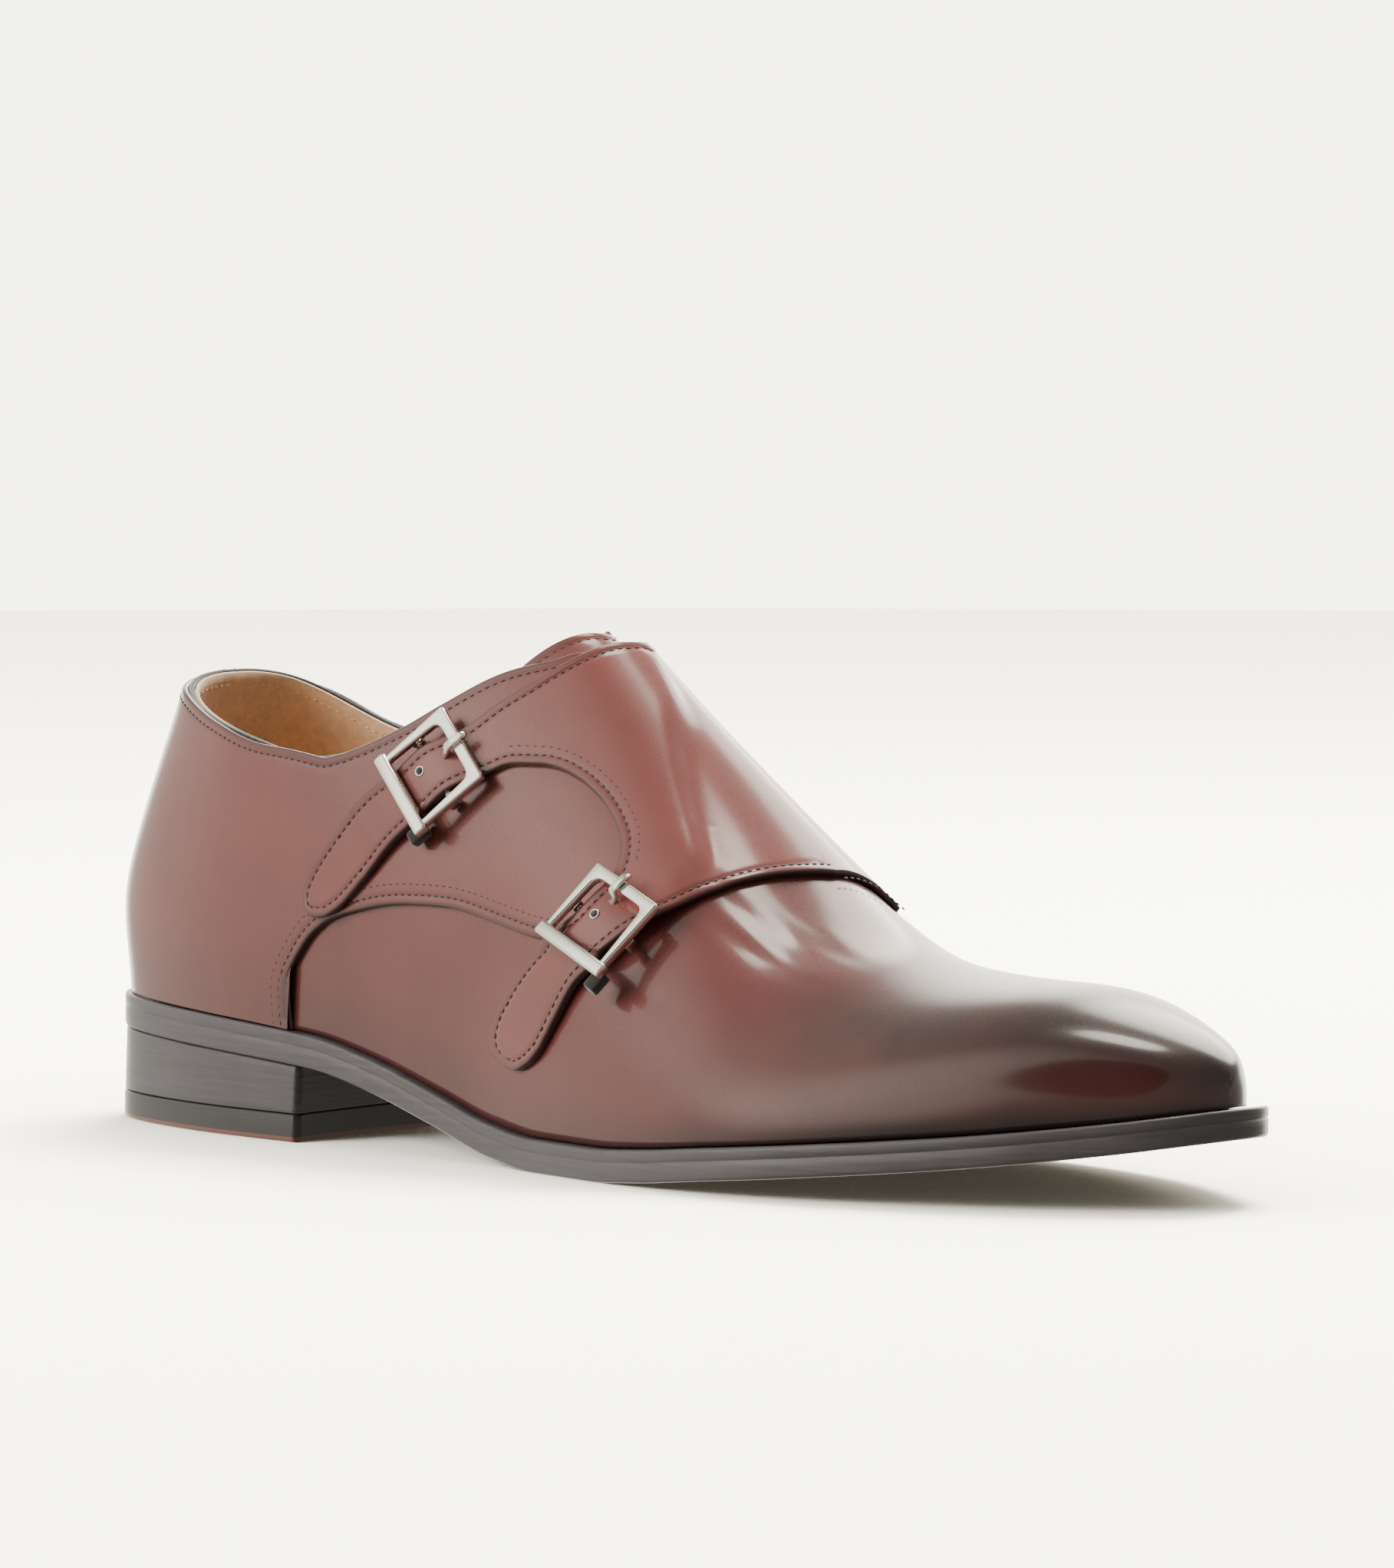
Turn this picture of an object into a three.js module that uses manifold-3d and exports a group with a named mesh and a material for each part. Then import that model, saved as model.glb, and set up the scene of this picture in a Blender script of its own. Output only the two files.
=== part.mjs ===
// Double monk strap shoe, the right one, empty and standing on its sole.
// Millimetres. X runs from the heel to the toe, +Y is the inner side, +Z is up, the floor is Z = 0.
// The last is one function of a place along the sole and a place around the foot.
// Every leather piece is a slab between two heights over that last.
import * as THREE from 'three';
import { mergeVertices } from 'three/addons/utils/BufferGeometryUtils.js';
import Module from 'manifold-3d';

const wasm = await Module();
wasm.setup();

// Driving sizes of the last and sole
const LENGTH = 305;
const BALL_WIDTH = 100;
const INSTEP_HEIGHT = 106;
const BACK_HEIGHT = 97;
const HEEL_HEIGHT = 20.5;
const TOE_SPRING = 14.4;
const HEEL_LENGTH = 75;
const SOLE_EDGE_HEEL = 7.5;
const SOLE_EDGE_TOE = 6.3;
const TOP_PIECE = 6;
const HEEL_FLARE = 0.3;
const HEEL_WAIST = 0.4;
const LEDGE_HEEL = 1.9;
const LEDGE_TOE = 4.3;

// Leather, gaps and bevels
const WALL = 2;
const LEATHER = 1.2;
const FIT = 0.3;
const LAYER_FIT = 0.45;
const INSOLE = 3;
const TONGUE = 2.4;
const TONGUE_TUCK = 0.6;
const EDGE_BEVEL = 0.7;

// Straps and buckles
const STRAP_WIDTH = 13.6;
const STRAP_RISE = 2.1;
const STRAP_PLAY = 0.8;
const FRAME_BAR = 2.5;
const FRAME_LENGTH = 19.4;
const FRAME_WIDTH = STRAP_WIDTH + 2 * (STRAP_PLAY + FRAME_BAR);
const FRAME_DEPTH = 2;
const FRAME_BEVEL = 0.35;
const KEEPER_WIDTH = 3.2;
const KEEPER_OVERHANG = 0.5;
const KEEPER_FLAT = 0.8;
const CENTRE_BAR = 1.5;
const PRONG = 1.8;
const PRONG_REACH = 1.6;
const PRONG_HOLE = 4.2;

// Finishes
const CALF = { color: 0x6b352c, roughness: 0.25, metalness: 0 };
const SOLE_LEATHER = { color: 0x3b3331, roughness: 0.5, metalness: 0 };
const RUBBER = { color: 0x2a2625, roughness: 0.6, metalness: 0 };
const LINING = { color: 0xb07a43, roughness: 0.8, metalness: 0 };
const NICKEL = { color: 0xd8d8d6, roughness: 0.15, metalness: 1 };

// A short table: one object of columns, by name
function table(names, rows) {
  const columns = {};
  names.split(' ').forEach((name, i) => { columns[name] = rows.map((row) => row[i]); });
  return columns;
}

// Plan of the sole. at: share of the length. outer, inner: shares of the ball width.
const PLAN = table('at outer inner', [
  [0.000, 0.000, 0.000],
  [0.010, 0.150, 0.150],
  [0.039, 0.245, 0.250],
  [0.092, 0.305, 0.318],
  [0.164, 0.345, 0.333],
  [0.250, 0.360, 0.318],
  [0.328, 0.370, 0.285],
  [0.426, 0.400, 0.270],
  [0.525, 0.458, 0.330],
  [0.607, 0.502, 0.420],
  [0.672, 0.516, 0.480],
  [0.738, 0.496, 0.485],
  [0.820, 0.422, 0.430],
  [0.892, 0.324, 0.345],
  [0.951, 0.204, 0.240],
  [0.987, 0.096, 0.150],
  [1.000, -0.035, 0.035],
]);

// Underside of the sole. at: share of the length. heel, toe: shares of the heel height and toe spring.
const UNDERSIDE = table('at heel toe', [
  [0.000, 1.000, 0.000],
  [0.256, 0.785, 0.000],
  [0.320, 0.605, 0.000],
  [0.387, 0.332, 0.000],
  [0.450, 0.083, 0.000],
  [0.500, 0.000, 0.000],
  [0.560, 0.000, 0.000],
  [0.615, 0.000, 0.070],
  [0.672, 0.000, 0.190],
  [0.764, 0.000, 0.370],
  [0.862, 0.000, 0.580],
  [0.944, 0.000, 0.805],
  [1.000, 0.000, 1.000],
]);

// Sections of the last, a row for each row of the plan.
// inset: half width at the sole as a share of the sole's. ridge: its shift, share of the ball width.
// top: share of the instep height, over the open collar too. leanO, leanI: degrees that the outer
// and inner walls lean out. gripO, gripI: how straight the walls rise. crownO, crownI: how flat the top is.
const SECTIONS = table('inset ridge top leanO gripO crownO leanI gripI crownI', [
  [0.925, 0.000, 1.415, 4, 0.45, 0.60, 4, 0.45, 0.60],
  [0.925, 0.000, 1.415, 4, 0.45, 0.60, 4, 0.45, 0.60],
  [0.925, 0.000, 1.415, 4, 0.45, 0.60, 4, 0.45, 0.60],
  [0.925, 0.000, 1.415, 4, 0.45, 0.60, 4, 0.45, 0.60],
  [0.930, 0.000, 1.415, 4, 0.45, 0.60, 4, 0.45, 0.60],
  [0.935, 0.010, 1.406, 3, 0.42, 0.58, 2, 0.42, 0.58],
  [0.940, 0.020, 1.278, 3, 0.38, 0.52, 0, 0.38, 0.52],
  [0.945, 0.030, 1.076, 4, 0.36, 0.50, 2, 0.36, 0.50],
  [0.940, 0.040, 0.845, 8, 0.36, 0.50, 8, 0.40, 0.50],
  [0.930, 0.050, 0.649, 12, 0.36, 0.52, 12, 0.45, 0.50],
  [0.930, 0.050, 0.500, 14, 0.38, 0.55, 14, 0.48, 0.52],
  [0.930, 0.050, 0.425, 14, 0.42, 0.60, 12, 0.48, 0.56],
  [0.925, 0.045, 0.406, 12, 0.50, 0.68, 10, 0.50, 0.64],
  [0.920, 0.040, 0.396, 9, 0.58, 0.74, 9, 0.58, 0.72],
  [0.910, 0.037, 0.350, 6, 0.62, 0.78, 6, 0.62, 0.78],
  [0.880, 0.036, 0.300, 4, 0.62, 0.80, 4, 0.62, 0.80],
  [0.850, 0.035, 0.245, 0, 0.60, 0.80, 0, 0.60, 0.80],
]);

// Curve of the heel's back. up: share of the back height. forward: share of the back height.
const HEEL_BACK = table('up forward', [
  [0.206, 0.006],
  [0.330, 0.010],
  [0.495, 0.001],
  [0.639, 0.045],
  [0.825, 0.126],
  [1.010, 0.193],
  [1.186, 0.219],
  [1.546, 0.310],
]);
const HEEL_BACK_REACH = 0.311;

// Top edge of the wall. at: share of the length. outer, inner: places around the foot,
// where -1 is the outer sole line, 0 the ridge of the instep and 1 the inner sole line.
const TOPLINE = table('at outer inner', [
  [0.000, -0.580, 0.580],
  [0.036, -0.602, 0.606],
  [0.110, -0.633, 0.653],
  [0.189, -0.654, 0.672],
  [0.251, -0.649, 0.660],
  [0.288, -0.607, 0.612],
  [0.322, -0.541, 0.545],
  [0.356, -0.455, 0.455],
  [0.394, -0.343, 0.340],
  [0.424, -0.250, 0.230],
  [0.446, -0.140, 0.120],
  [0.462, 0.000, 0.000],
]);

// Ribs of the outer quarter, from the back seam to its front edge under the flap
const OUTER_QUARTER = table('lowAt low highAt high', [
  [0.000, -1.000, 0.000, -0.580],
  [0.036, -1.000, 0.036, -0.602],
  [0.110, -1.000, 0.110, -0.633],
  [0.180, -1.000, 0.189, -0.654],
  [0.2340, -1.000, 0.251, -0.649],
  [0.2320, -0.950, 0.268, -0.635],
  [0.2500, -0.888, 0.288, -0.607],
  [0.2690, -0.850, 0.322, -0.541],
  [0.3100, -0.797, 0.356, -0.455],
  [0.3553, -0.747, 0.394, -0.343],
  [0.4015, -0.705, 0.424, -0.250],
  [0.4419, -0.679, 0.446, -0.165],
  [0.4762, -0.659, 0.470, -0.200],
  [0.5200, -0.620, 0.510, -0.250],
  [0.5600, -0.560, 0.556, -0.330],
]);

// Ribs of the inner quarter, from the back seam to its front edge; its last four share the ridge
const INNER_QUARTER = table('lowAt low highAt high', [
  [0.000, 1.000, 0.000, 0.580],
  [0.036, 1.000, 0.036, 0.606],
  [0.110, 1.000, 0.110, 0.653],
  [0.180, 1.000, 0.189, 0.672],
  [0.2340, 1.000, 0.251, 0.660],
  [0.2500, 0.888, 0.288, 0.612],
  [0.2910, 0.820, 0.322, 0.545],
  [0.3400, 0.765, 0.356, 0.455],
  [0.3950, 0.715, 0.394, 0.340],
  [0.4500, 0.675, 0.424, 0.230],
  [0.4950, 0.640, 0.446, 0.120],
  [0.5350, 0.600, 0.465, 0.000],
  [0.5700, 0.550, 0.508, 0.000],
  [0.6000, 0.495, 0.551, 0.000],
  [0.6230, 0.430, 0.594, 0.000],
  [0.6365, 0.350, 0.638, 0.000],
]);
const RIDGE_RIBS = 4;

// Ribs of the flap round the cut-out, from the upper strap to the lower one.
// in: the edge of the cut-out. out: the other edge, and between its corners the ridge.
const FLAP = table('inAt in outAt out', [
  [0.4240, -0.459, 0.4030, -0.385],
  [0.4437, -0.425, 0.4250, -0.295],
  [0.4560, -0.405, 0.4420, -0.190],
  [0.4673, -0.391, 0.4560, -0.070],
  [0.4790, -0.381, 0.4650, 0.000],
  [0.4903, -0.375, 0.5080, 0.000],
  [0.5015, -0.374, 0.5510, 0.000],
  [0.5126, -0.378, 0.5940, 0.000],
  [0.5225, -0.387, 0.6380, 0.000],
  [0.5307, -0.400, 0.6330, -0.088],
  [0.5358, -0.420, 0.6240, -0.185],
  [0.5382, -0.440, 0.6120, -0.285],
]);
const FLAP_RIDGE = 4;

// Ribs of each strap from its buckle to its tip, as shares of the strap's width. along: from the
// buckle's bar towards the flap. across: upwards. 1 is the upper edge of the strap, 2 the lower.
const UPPER_STRAP = table('along1 across1 along2 across2', [
  [0.71, 0.32, 0.70, -0.62],
  [0.00, 0.50, 0.00, -0.43],
  [-0.48, 0.52, -0.48, -0.41],
  [-1.29, 0.68, -1.24, -0.33],
  [-2.07, 0.64, -2.05, -0.37],
  [-2.85, 0.52, -2.74, -0.33],
  [-3.13, 0.40, -3.04, -0.22],
  [-3.26, 0.24, -3.21, -0.06],
  [-3.29, 0.12, -3.28, 0.02],
]);
const LOWER_STRAP = table('along1 across1 along2 across2', [
  [0.70, 0.57, 0.68, -0.62],
  [0.00, 0.53, 0.00, -0.44],
  [-0.45, 0.76, -0.45, -0.28],
  [-0.92, 1.03, -0.92, -0.05],
  [-1.55, 1.25, -1.58, 0.01],
  [-2.10, 1.34, -2.08, 0.10],
  [-2.36, 1.28, -2.36, 0.28],
  [-2.52, 1.10, -2.54, 0.52],
  [-2.57, 0.92, -2.575, 0.74],
]);

// Front edge of the outer quarter under the flap, as places along for places around
const UNDERLAP = table('around at', [
  [-1.000, 0.234],
  [-0.800, 0.305],
  [-0.705, 0.400],
  [-0.659, 0.476],
  [-0.560, 0.575],
  [-0.330, 0.575],
  [-0.210, 0.530],
  [-0.150, 0.510],
  [-0.060, 0.490],
  [0.000, 0.460],
]);
const UNDERLAP_FADE = 0.035;

// Ribs of the tongue, from its free top edge to its end under the vamp
const TONGUE_RIBS = table('edgeAt edge midAt', [
  [0.390, 0.355, 0.437],
  [0.410, 0.350, 0.455],
  [0.450, 0.340, 0.480],
  [0.500, 0.330, 0.515],
  [0.550, 0.320, 0.555],
]);

// Each strap under its buckle. at, around: the middle of the buckle on the last. headAt, headAround:
// where its long axis points. pitch: degrees that the end with the keeper stands up.
const BUCKLES = [
  {
    name: 'upper', at: 0.3672, around: -0.552,
    headAt: 0.4070, headAround: -0.413,
    pitch: 3, ribs: UPPER_STRAP,
  },
  {
    name: 'lower', at: 0.5508, around: -0.553,
    headAt: 0.5705, headAround: -0.381,
    pitch: 6, ribs: LOWER_STRAP,
  },
];

// Rise of a strap over its buckle's bar. along: from the bar towards the flap, share of the frame's
// length. rise: share of the strap's rise.
const HUMP = table('along rise', [
  [-1.80, 0.00],
  [-1.25, 0.15],
  [-0.75, 0.42],
  [-0.50, 0.58],
  [-0.25, 0.90],
  [0.00, 1.00],
  [0.20, 0.78],
  [0.38, 0.30],
  [0.62, 0.00],
  [1.80, 0.00],
]);
// The rise fades out sideways between these places, in strap widths, ahead of the bar and behind it
const FADE_AHEAD = [0.65, 1.00];
const FADE_BEHIND = [1.40, 2.00];

// Cubic spline through points; its ends are free, or level where flat is true
function spline(xs, ys, flat = false) {
  const n = xs.length;
  const low = new Array(n).fill(0);
  const mid = new Array(n).fill(1);
  const high = new Array(n).fill(0);
  const right = new Array(n).fill(0);
  const slope = (i) => (ys[i + 1] - ys[i]) / (xs[i + 1] - xs[i]);
  for (let i = 1; i < n - 1; i += 1) {
    low[i] = xs[i] - xs[i - 1];
    mid[i] = 2 * (xs[i + 1] - xs[i - 1]);
    high[i] = xs[i + 1] - xs[i];
    right[i] = 6 * (slope(i) - slope(i - 1));
  }
  if (flat) {
    mid[0] = 2 * (xs[1] - xs[0]);
    high[0] = xs[1] - xs[0];
    right[0] = 6 * slope(0);
    low[n - 1] = xs[n - 1] - xs[n - 2];
    mid[n - 1] = 2 * low[n - 1];
    right[n - 1] = -6 * slope(n - 2);
  }
  for (let i = 1; i < n; i += 1) {
    const share = low[i] / mid[i - 1];
    mid[i] -= share * high[i - 1];
    right[i] -= share * right[i - 1];
  }
  const bend = new Array(n).fill(0);
  bend[n - 1] = right[n - 1] / mid[n - 1];
  for (let i = n - 2; i >= 0; i -= 1) {
    bend[i] = (right[i] - high[i] * bend[i + 1]) / mid[i];
  }
  return (x) => {
    let i = 0;
    while (i < n - 2 && x > xs[i + 1]) {
      i += 1;
    }
    const h = xs[i + 1] - xs[i];
    const a = (xs[i + 1] - x) / h;
    const b = 1 - a;
    const curve = (a ** 3 - a) * bend[i] + (b ** 3 - b) * bend[i + 1];
    return a * ys[i] + b * ys[i + 1] + (curve * h * h) / 6;
  };
}

// Curve through points that never swings past them
function smooth(xs, ys) {
  const n = xs.length;
  const step = (i) => (ys[i + 1] - ys[i]) / (xs[i + 1] - xs[i]);
  const slopes = ys.map((_, i) => {
    if (i === 0 || i === n - 1) {
      return step(Math.min(i, n - 2));
    }
    const before = step(i - 1);
    const after = step(i);
    return before * after > 0 ? (2 * before * after) / (before + after) : 0;
  });
  return (x) => {
    const held = Math.min(Math.max(x, xs[0]), xs[n - 1]);
    let i = 0;
    while (i < n - 2 && held > xs[i + 1]) {
      i += 1;
    }
    const h = xs[i + 1] - xs[i];
    const t = (held - xs[i]) / h;
    const start = ys[i] * (1 + 2 * t) * (1 - t) ** 2 + slopes[i] * h * t * (1 - t) ** 2;
    return start + ys[i + 1] * t * t * (3 - 2 * t) + slopes[i + 1] * h * t * t * (t - 1);
  };
}

const lerp = THREE.MathUtils.lerp;
const stations = PLAN.at.map((_, i) => i / (PLAN.at.length - 1));
const planAt = spline(stations, PLAN.at, true);
const planOuter = spline(stations, PLAN.outer);
const planInner = spline(stations, PLAN.inner);
const section = {};
for (const name of Object.keys(SECTIONS)) {
  section[name] = spline(stations, SECTIONS[name]);
}
const underside = smooth(
  UNDERSIDE.at.map((at) => at * LENGTH),
  UNDERSIDE.at.map((_, i) => UNDERSIDE.heel[i] * HEEL_HEIGHT + UNDERSIDE.toe[i] * TOE_SPRING),
);
const heelBack = spline(
  HEEL_BACK.up.map((up) => up * BACK_HEIGHT),
  HEEL_BACK.forward.map((forward) => forward * BACK_HEIGHT),
);

// The two quarters stand a fit apart at the back seam, as a station
const BACK_SEAM = (FIT / 2 / BALL_WIDTH / PLAN.outer[1]) * stations[1];

// Station, 0 to 1, of a place along the sole
function stationOf(at) {
  if (at === 0) {
    return 0;
  }
  let low = 0;
  let high = 1;
  for (let i = 0; i < 40; i += 1) {
    const middle = (low + high) / 2;
    if (planAt(middle) < at) {
      low = middle;
    } else {
      high = middle;
    }
  }
  return (low + high) / 2;
}

function soleEdge(x) {
  return lerp(SOLE_EDGE_HEEL, SOLE_EDGE_TOE, THREE.MathUtils.clamp(x / LENGTH, 0, 1));
}

function soleTop(x) {
  return underside(x) + soleEdge(x);
}

// Point of the last at a station, with around running from -1 over 0 to 1
function last(station, around) {
  if (station < 0) {
    return last(-station, -around);
  }
  if (station > 1) {
    return last(2 - station, -around);
  }
  const outer = around < 0;
  const side = outer ? -1 : 1;
  const v = 1 - Math.abs(around);
  const x = LEDGE_HEEL + (LENGTH - LEDGE_HEEL - LEDGE_TOE) * planAt(station);
  const half = (outer ? planOuter(station) : planInner(station)) * BALL_WIDTH * section.inset(station);
  const foot = soleTop(x) + FIT;
  const ridge = section.ridge(station) * BALL_WIDTH;
  const top = section.top(station) * INSTEP_HEIGHT;
  const lean = THREE.MathUtils.degToRad((outer ? section.leanO : section.leanI)(station));
  const grip = (outer ? section.gripO : section.gripI)(station) * (top - foot);
  const crown = (outer ? section.crownO : section.crownI)(station);
  const y0 = side * half;
  const y1 = y0 + side * grip * Math.sin(lean);
  const y2 = ridge + crown * (y0 - ridge);
  const z1 = foot + grip * Math.cos(lean);
  const w = 1 - v;
  const y = w ** 3 * y0 + 3 * v * w * w * y1 + 3 * v * v * w * y2 + v ** 3 * ridge;
  const z = w ** 3 * foot + 3 * v * w * w * z1 + 3 * v * v * w * top + v ** 3 * top;
  const fade = Math.max(1 - x / (HEEL_BACK_REACH * LENGTH), 0) ** 1.5;
  return new THREE.Vector3(x + fade * heelBack(z), y, z);
}

function outward(station, around) {
  const step = 0.002;
  const along = last(station + step, around).sub(last(station - step, around));
  const up = around < 0
    ? last(station, around + step).sub(last(station, around - step))
    : last(station, Math.min(around + step, 1)).sub(last(station, around - step));
  return along.cross(up).normalize();
}

// Point at a height over the last; the sole line keeps its level
function skin(station, around, height) {
  const point = last(station, around).addScaledVector(outward(station, around), height);
  if (Math.abs(around) > 0.9999) {
    point.z = soleTop(point.x) + FIT;
  }
  return point;
}

// A sheet is a set of places on the last and the quads between them
function newSheet() {
  return { places: [], index: new Map(), quads: [] };
}

function addPlace(sheet, station, around) {
  const end = station === 0 || station === 1;
  const turned = end ? -Math.abs(around) : around;
  const key = `${Math.round(station * 1e6)} ${Math.round(turned * 1e6)}`;
  if (!sheet.index.has(key)) {
    sheet.index.set(key, sheet.places.length);
    sheet.places.push({ station, around: turned });
  }
  return sheet.index.get(key);
}

function addPatch(sheet, columns, rows, place) {
  const grid = columns.map((t) => rows.map((u) => addPlace(sheet, ...place(t, u))));
  for (let i = 0; i < columns.length - 1; i += 1) {
    for (let j = 0; j < rows.length - 1; j += 1) {
      sheet.quads.push([grid[i][j], grid[i + 1][j], grid[i + 1][j + 1], grid[i][j + 1]]);
    }
  }
}

function shares(count) {
  return Array.from({ length: count + 1 }, (_, i) => i / count);
}

// Shares of a patch's run that stand about a step apart, measured along its line u
function evenShares(place, u, step) {
  const fine = 200;
  const lengths = [0];
  for (let i = 1; i <= fine; i += 1) {
    const from = last(...place((i - 1) / fine, u));
    lengths.push(lengths[i - 1] + last(...place(i / fine, u)).distanceTo(from));
  }
  const count = Math.ceil(lengths[fine] / step);
  return shares(count).map((share) => {
    const goal = share * lengths[fine];
    const i = Math.min(Math.max(lengths.findIndex((length) => length >= goal), 1), fine);
    return (i - 1 + (goal - lengths[i - 1]) / (lengths[i] - lengths[i - 1])) / fine;
  });
}

// Closed solid between two heights of a sheet
function slab(sheet, low, high) {
  const points = [];
  const n = sheet.places.length;
  for (const height of [high, low]) {
    for (const place of sheet.places) {
      points.push(skin(place.station, place.around, height(place.station, place.around)));
    }
  }
  const faces = [];
  const edges = new Map();
  for (const quad of sheet.quads) {
    const ring = quad.filter((p, i) => p !== quad[(i + 1) % quad.length]);
    for (let i = 1; i < ring.length - 1; i += 1) {
      const [a, b, c] = [ring[0], ring[i], ring[i + 1]];
      if (a !== b && b !== c && c !== a) {
        faces.push([a, b, c], [n + a, n + c, n + b]);
        for (const [p, q] of [[a, b], [b, c], [c, a]]) {
          edges.set(`${p} ${q}`, [p, q]);
        }
      }
    }
  }
  for (const [p, q] of edges.values()) {
    if (!edges.has(`${q} ${p}`)) {
      faces.push([p, n + p, n + q], [p, n + q, q]);
    }
  }
  return solid(points, faces);
}

function solid(points, faces) {
  const geometry = new THREE.BufferGeometry().setFromPoints(points);
  geometry.setIndex(faces.flat());
  return outwardFacing(mergeVertices(geometry, 1e-4));
}

function outwardFacing(geometry) {
  const p = geometry.attributes.position;
  const ix = geometry.index.array;
  const [a, b, c] = [new THREE.Vector3(), new THREE.Vector3(), new THREE.Vector3()];
  let volume = 0;
  for (let i = 0; i < ix.length; i += 3) {
    a.fromBufferAttribute(p, ix[i]);
    b.fromBufferAttribute(p, ix[i + 1]);
    c.fromBufferAttribute(p, ix[i + 2]);
    volume += a.dot(b.cross(c));
  }
  if (volume < 0) {
    for (let i = 0; i < ix.length; i += 3) {
      [ix[i + 1], ix[i + 2]] = [ix[i + 2], ix[i + 1]];
    }
  }
  return geometry;
}

// Ribs between two edges as a function of a share t along them and a share u from low to high
function ribs(rows, first = 0, end = rows.low.length - 1) {
  const order = rows.low.map((_, i) => i);
  const curves = [rows.low, rows.high].map((edge) => [
    smooth(order, edge.map(([station]) => station)),
    smooth(order, edge.map(([, around]) => around)),
  ]);
  return (t, u) => {
    const k = first + t * (end - first);
    const station = lerp(curves[0][0](k), curves[1][0](k), u);
    return [Math.max(station, BACK_SEAM), lerp(curves[0][1](k), curves[1][1](k), u)];
  };
}

function quarterRibs(rows) {
  return {
    low: rows.lowAt.map((at, i) => [stationOf(at), rows.low[i]]),
    high: rows.highAt.map((at, i) => [stationOf(at), rows.high[i]]),
  };
}

// The hollow wall of the upper
const topOuter = spline(TOPLINE.at, TOPLINE.outer);
const topInner = spline(TOPLINE.at, TOPLINE.inner);
const THROAT = TOPLINE.at[TOPLINE.at.length - 1];
const BACK_COLUMNS = shares(23).map((t) => t - (0.7 * Math.sin(2 * Math.PI * t)) / (2 * Math.PI));
const FRONT_COLUMNS = shares(20);
const UPPER_ROWS = shares(12).map((u) => 1 - (1 - u) ** 1.3);

function upperSheet() {
  const sheet = newSheet();
  const throat = stationOf(THROAT);
  for (const side of [-1, 1]) {
    const rows = side < 0 ? UPPER_ROWS : UPPER_ROWS.map((u) => 1 - u).reverse();
    const edge = (at) => Math.min(Math.abs((side < 0 ? topOuter : topInner)(at)), 1);
    addPatch(sheet, BACK_COLUMNS, rows, (t, u) => {
      const end = t === 1 ? 0 : edge(planAt(throat * t));
      return [throat * t, side * lerp(1, end, side < 0 ? u : 1 - u)];
    });
    addPatch(sheet, FRONT_COLUMNS, rows, (t, u) => {
      return [lerp(throat, 1, t), side * (side < 0 ? 1 - u : u)];
    });
  }
  return sheet;
}

const under = smooth(UNDERLAP.around, UNDERLAP.at);
const hump = smooth(
  HUMP.along.map((along) => along * FRAME_LENGTH),
  HUMP.rise.map((rise) => rise * STRAP_RISE),
);

// How much of the outer quarter lies under a place, 0 to 1
function underlap(station, around) {
  if (around > 0) {
    return 0;
  }
  const at = planAt(station);
  return 1 - THREE.MathUtils.smoothstep(at, under(around), under(around) + UNDERLAP_FADE);
}

const straps = BUCKLES.map((buckle) => {
  const centre = last(stationOf(buckle.at), buckle.around);
  const head = last(stationOf(buckle.headAt), buckle.headAround);
  const up = outward(stationOf(buckle.at), buckle.around);
  const along = head.sub(centre);
  along.addScaledVector(up, -along.dot(up)).normalize();
  return { ...buckle, centre, up, along, across: up.clone().cross(along) };
});

// Place on the last, as station and around, of a point in a buckle's own plane
function placeBy(strap, along, across) {
  let place = [stationOf(strap.at), strap.around];
  const miss = ([s, a]) => {
    const away = last(s, a).sub(strap.centre);
    return [along - away.dot(strap.along), across - away.dot(strap.across)];
  };
  for (let i = 0; i < 8; i += 1) {
    const step = 0.001;
    const [ex, ey] = miss(place);
    const [sx, sy] = miss([place[0] + step, place[1]]);
    const [ax, ay] = miss([place[0], place[1] + step]);
    const [a, b, c, d] = [(ex - sx) / step, (ex - ax) / step, (ey - sy) / step, (ey - ay) / step];
    const size = a * d - b * c;
    place = [place[0] + (d * ex - b * ey) / size, place[1] + (a * ey - c * ex) / size];
  }
  return place;
}

// Ribs of the flap with both straps, as one table from the upper tip to the lower tip
function flapRibs() {
  const rows = { low: [], high: [] };
  const edge = (strap, i, k) => placeBy(
    strap,
    strap.ribs[`along${k}`][i] * STRAP_WIDTH,
    strap.ribs[`across${k}`][i] * STRAP_WIDTH,
  );
  const [upper, lower] = straps;
  for (let i = upper.ribs.along1.length - 1; i >= 0; i -= 1) {
    rows.low.push(edge(upper, i, 2));
    rows.high.push(edge(upper, i, 1));
  }
  FLAP.in.forEach((around, i) => {
    rows.low.push([stationOf(FLAP.inAt[i]), around]);
    rows.high.push([stationOf(FLAP.outAt[i]), FLAP.out[i]]);
  });
  for (let i = 0; i < lower.ribs.along1.length; i += 1) {
    rows.low.push(edge(lower, i, 1));
    rows.high.push(edge(lower, i, 2));
  }
  return rows;
}

function flapLift(station, around) {
  const point = last(station, around);
  let rise = LAYER_FIT + (LEATHER + LAYER_FIT) * underlap(station, around);
  if (around > 0) {
    return rise;
  }
  for (const strap of straps) {
    const away = point.clone().sub(strap.centre);
    const along = away.dot(strap.along);
    const off = Math.abs(away.dot(strap.across)) / STRAP_WIDTH;
    rise += hump(along) * (1 - THREE.MathUtils.smoothstep(off, ...(along > 0 ? FADE_AHEAD : FADE_BEHIND)));
  }
  return rise;
}

function outerQuarterSheet() {
  const sheet = newSheet();
  const place = ribs(quarterRibs(OUTER_QUARTER));
  addPatch(sheet, evenShares(place, 0.5, 5.5), shares(8), place);
  return sheet;
}

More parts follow.
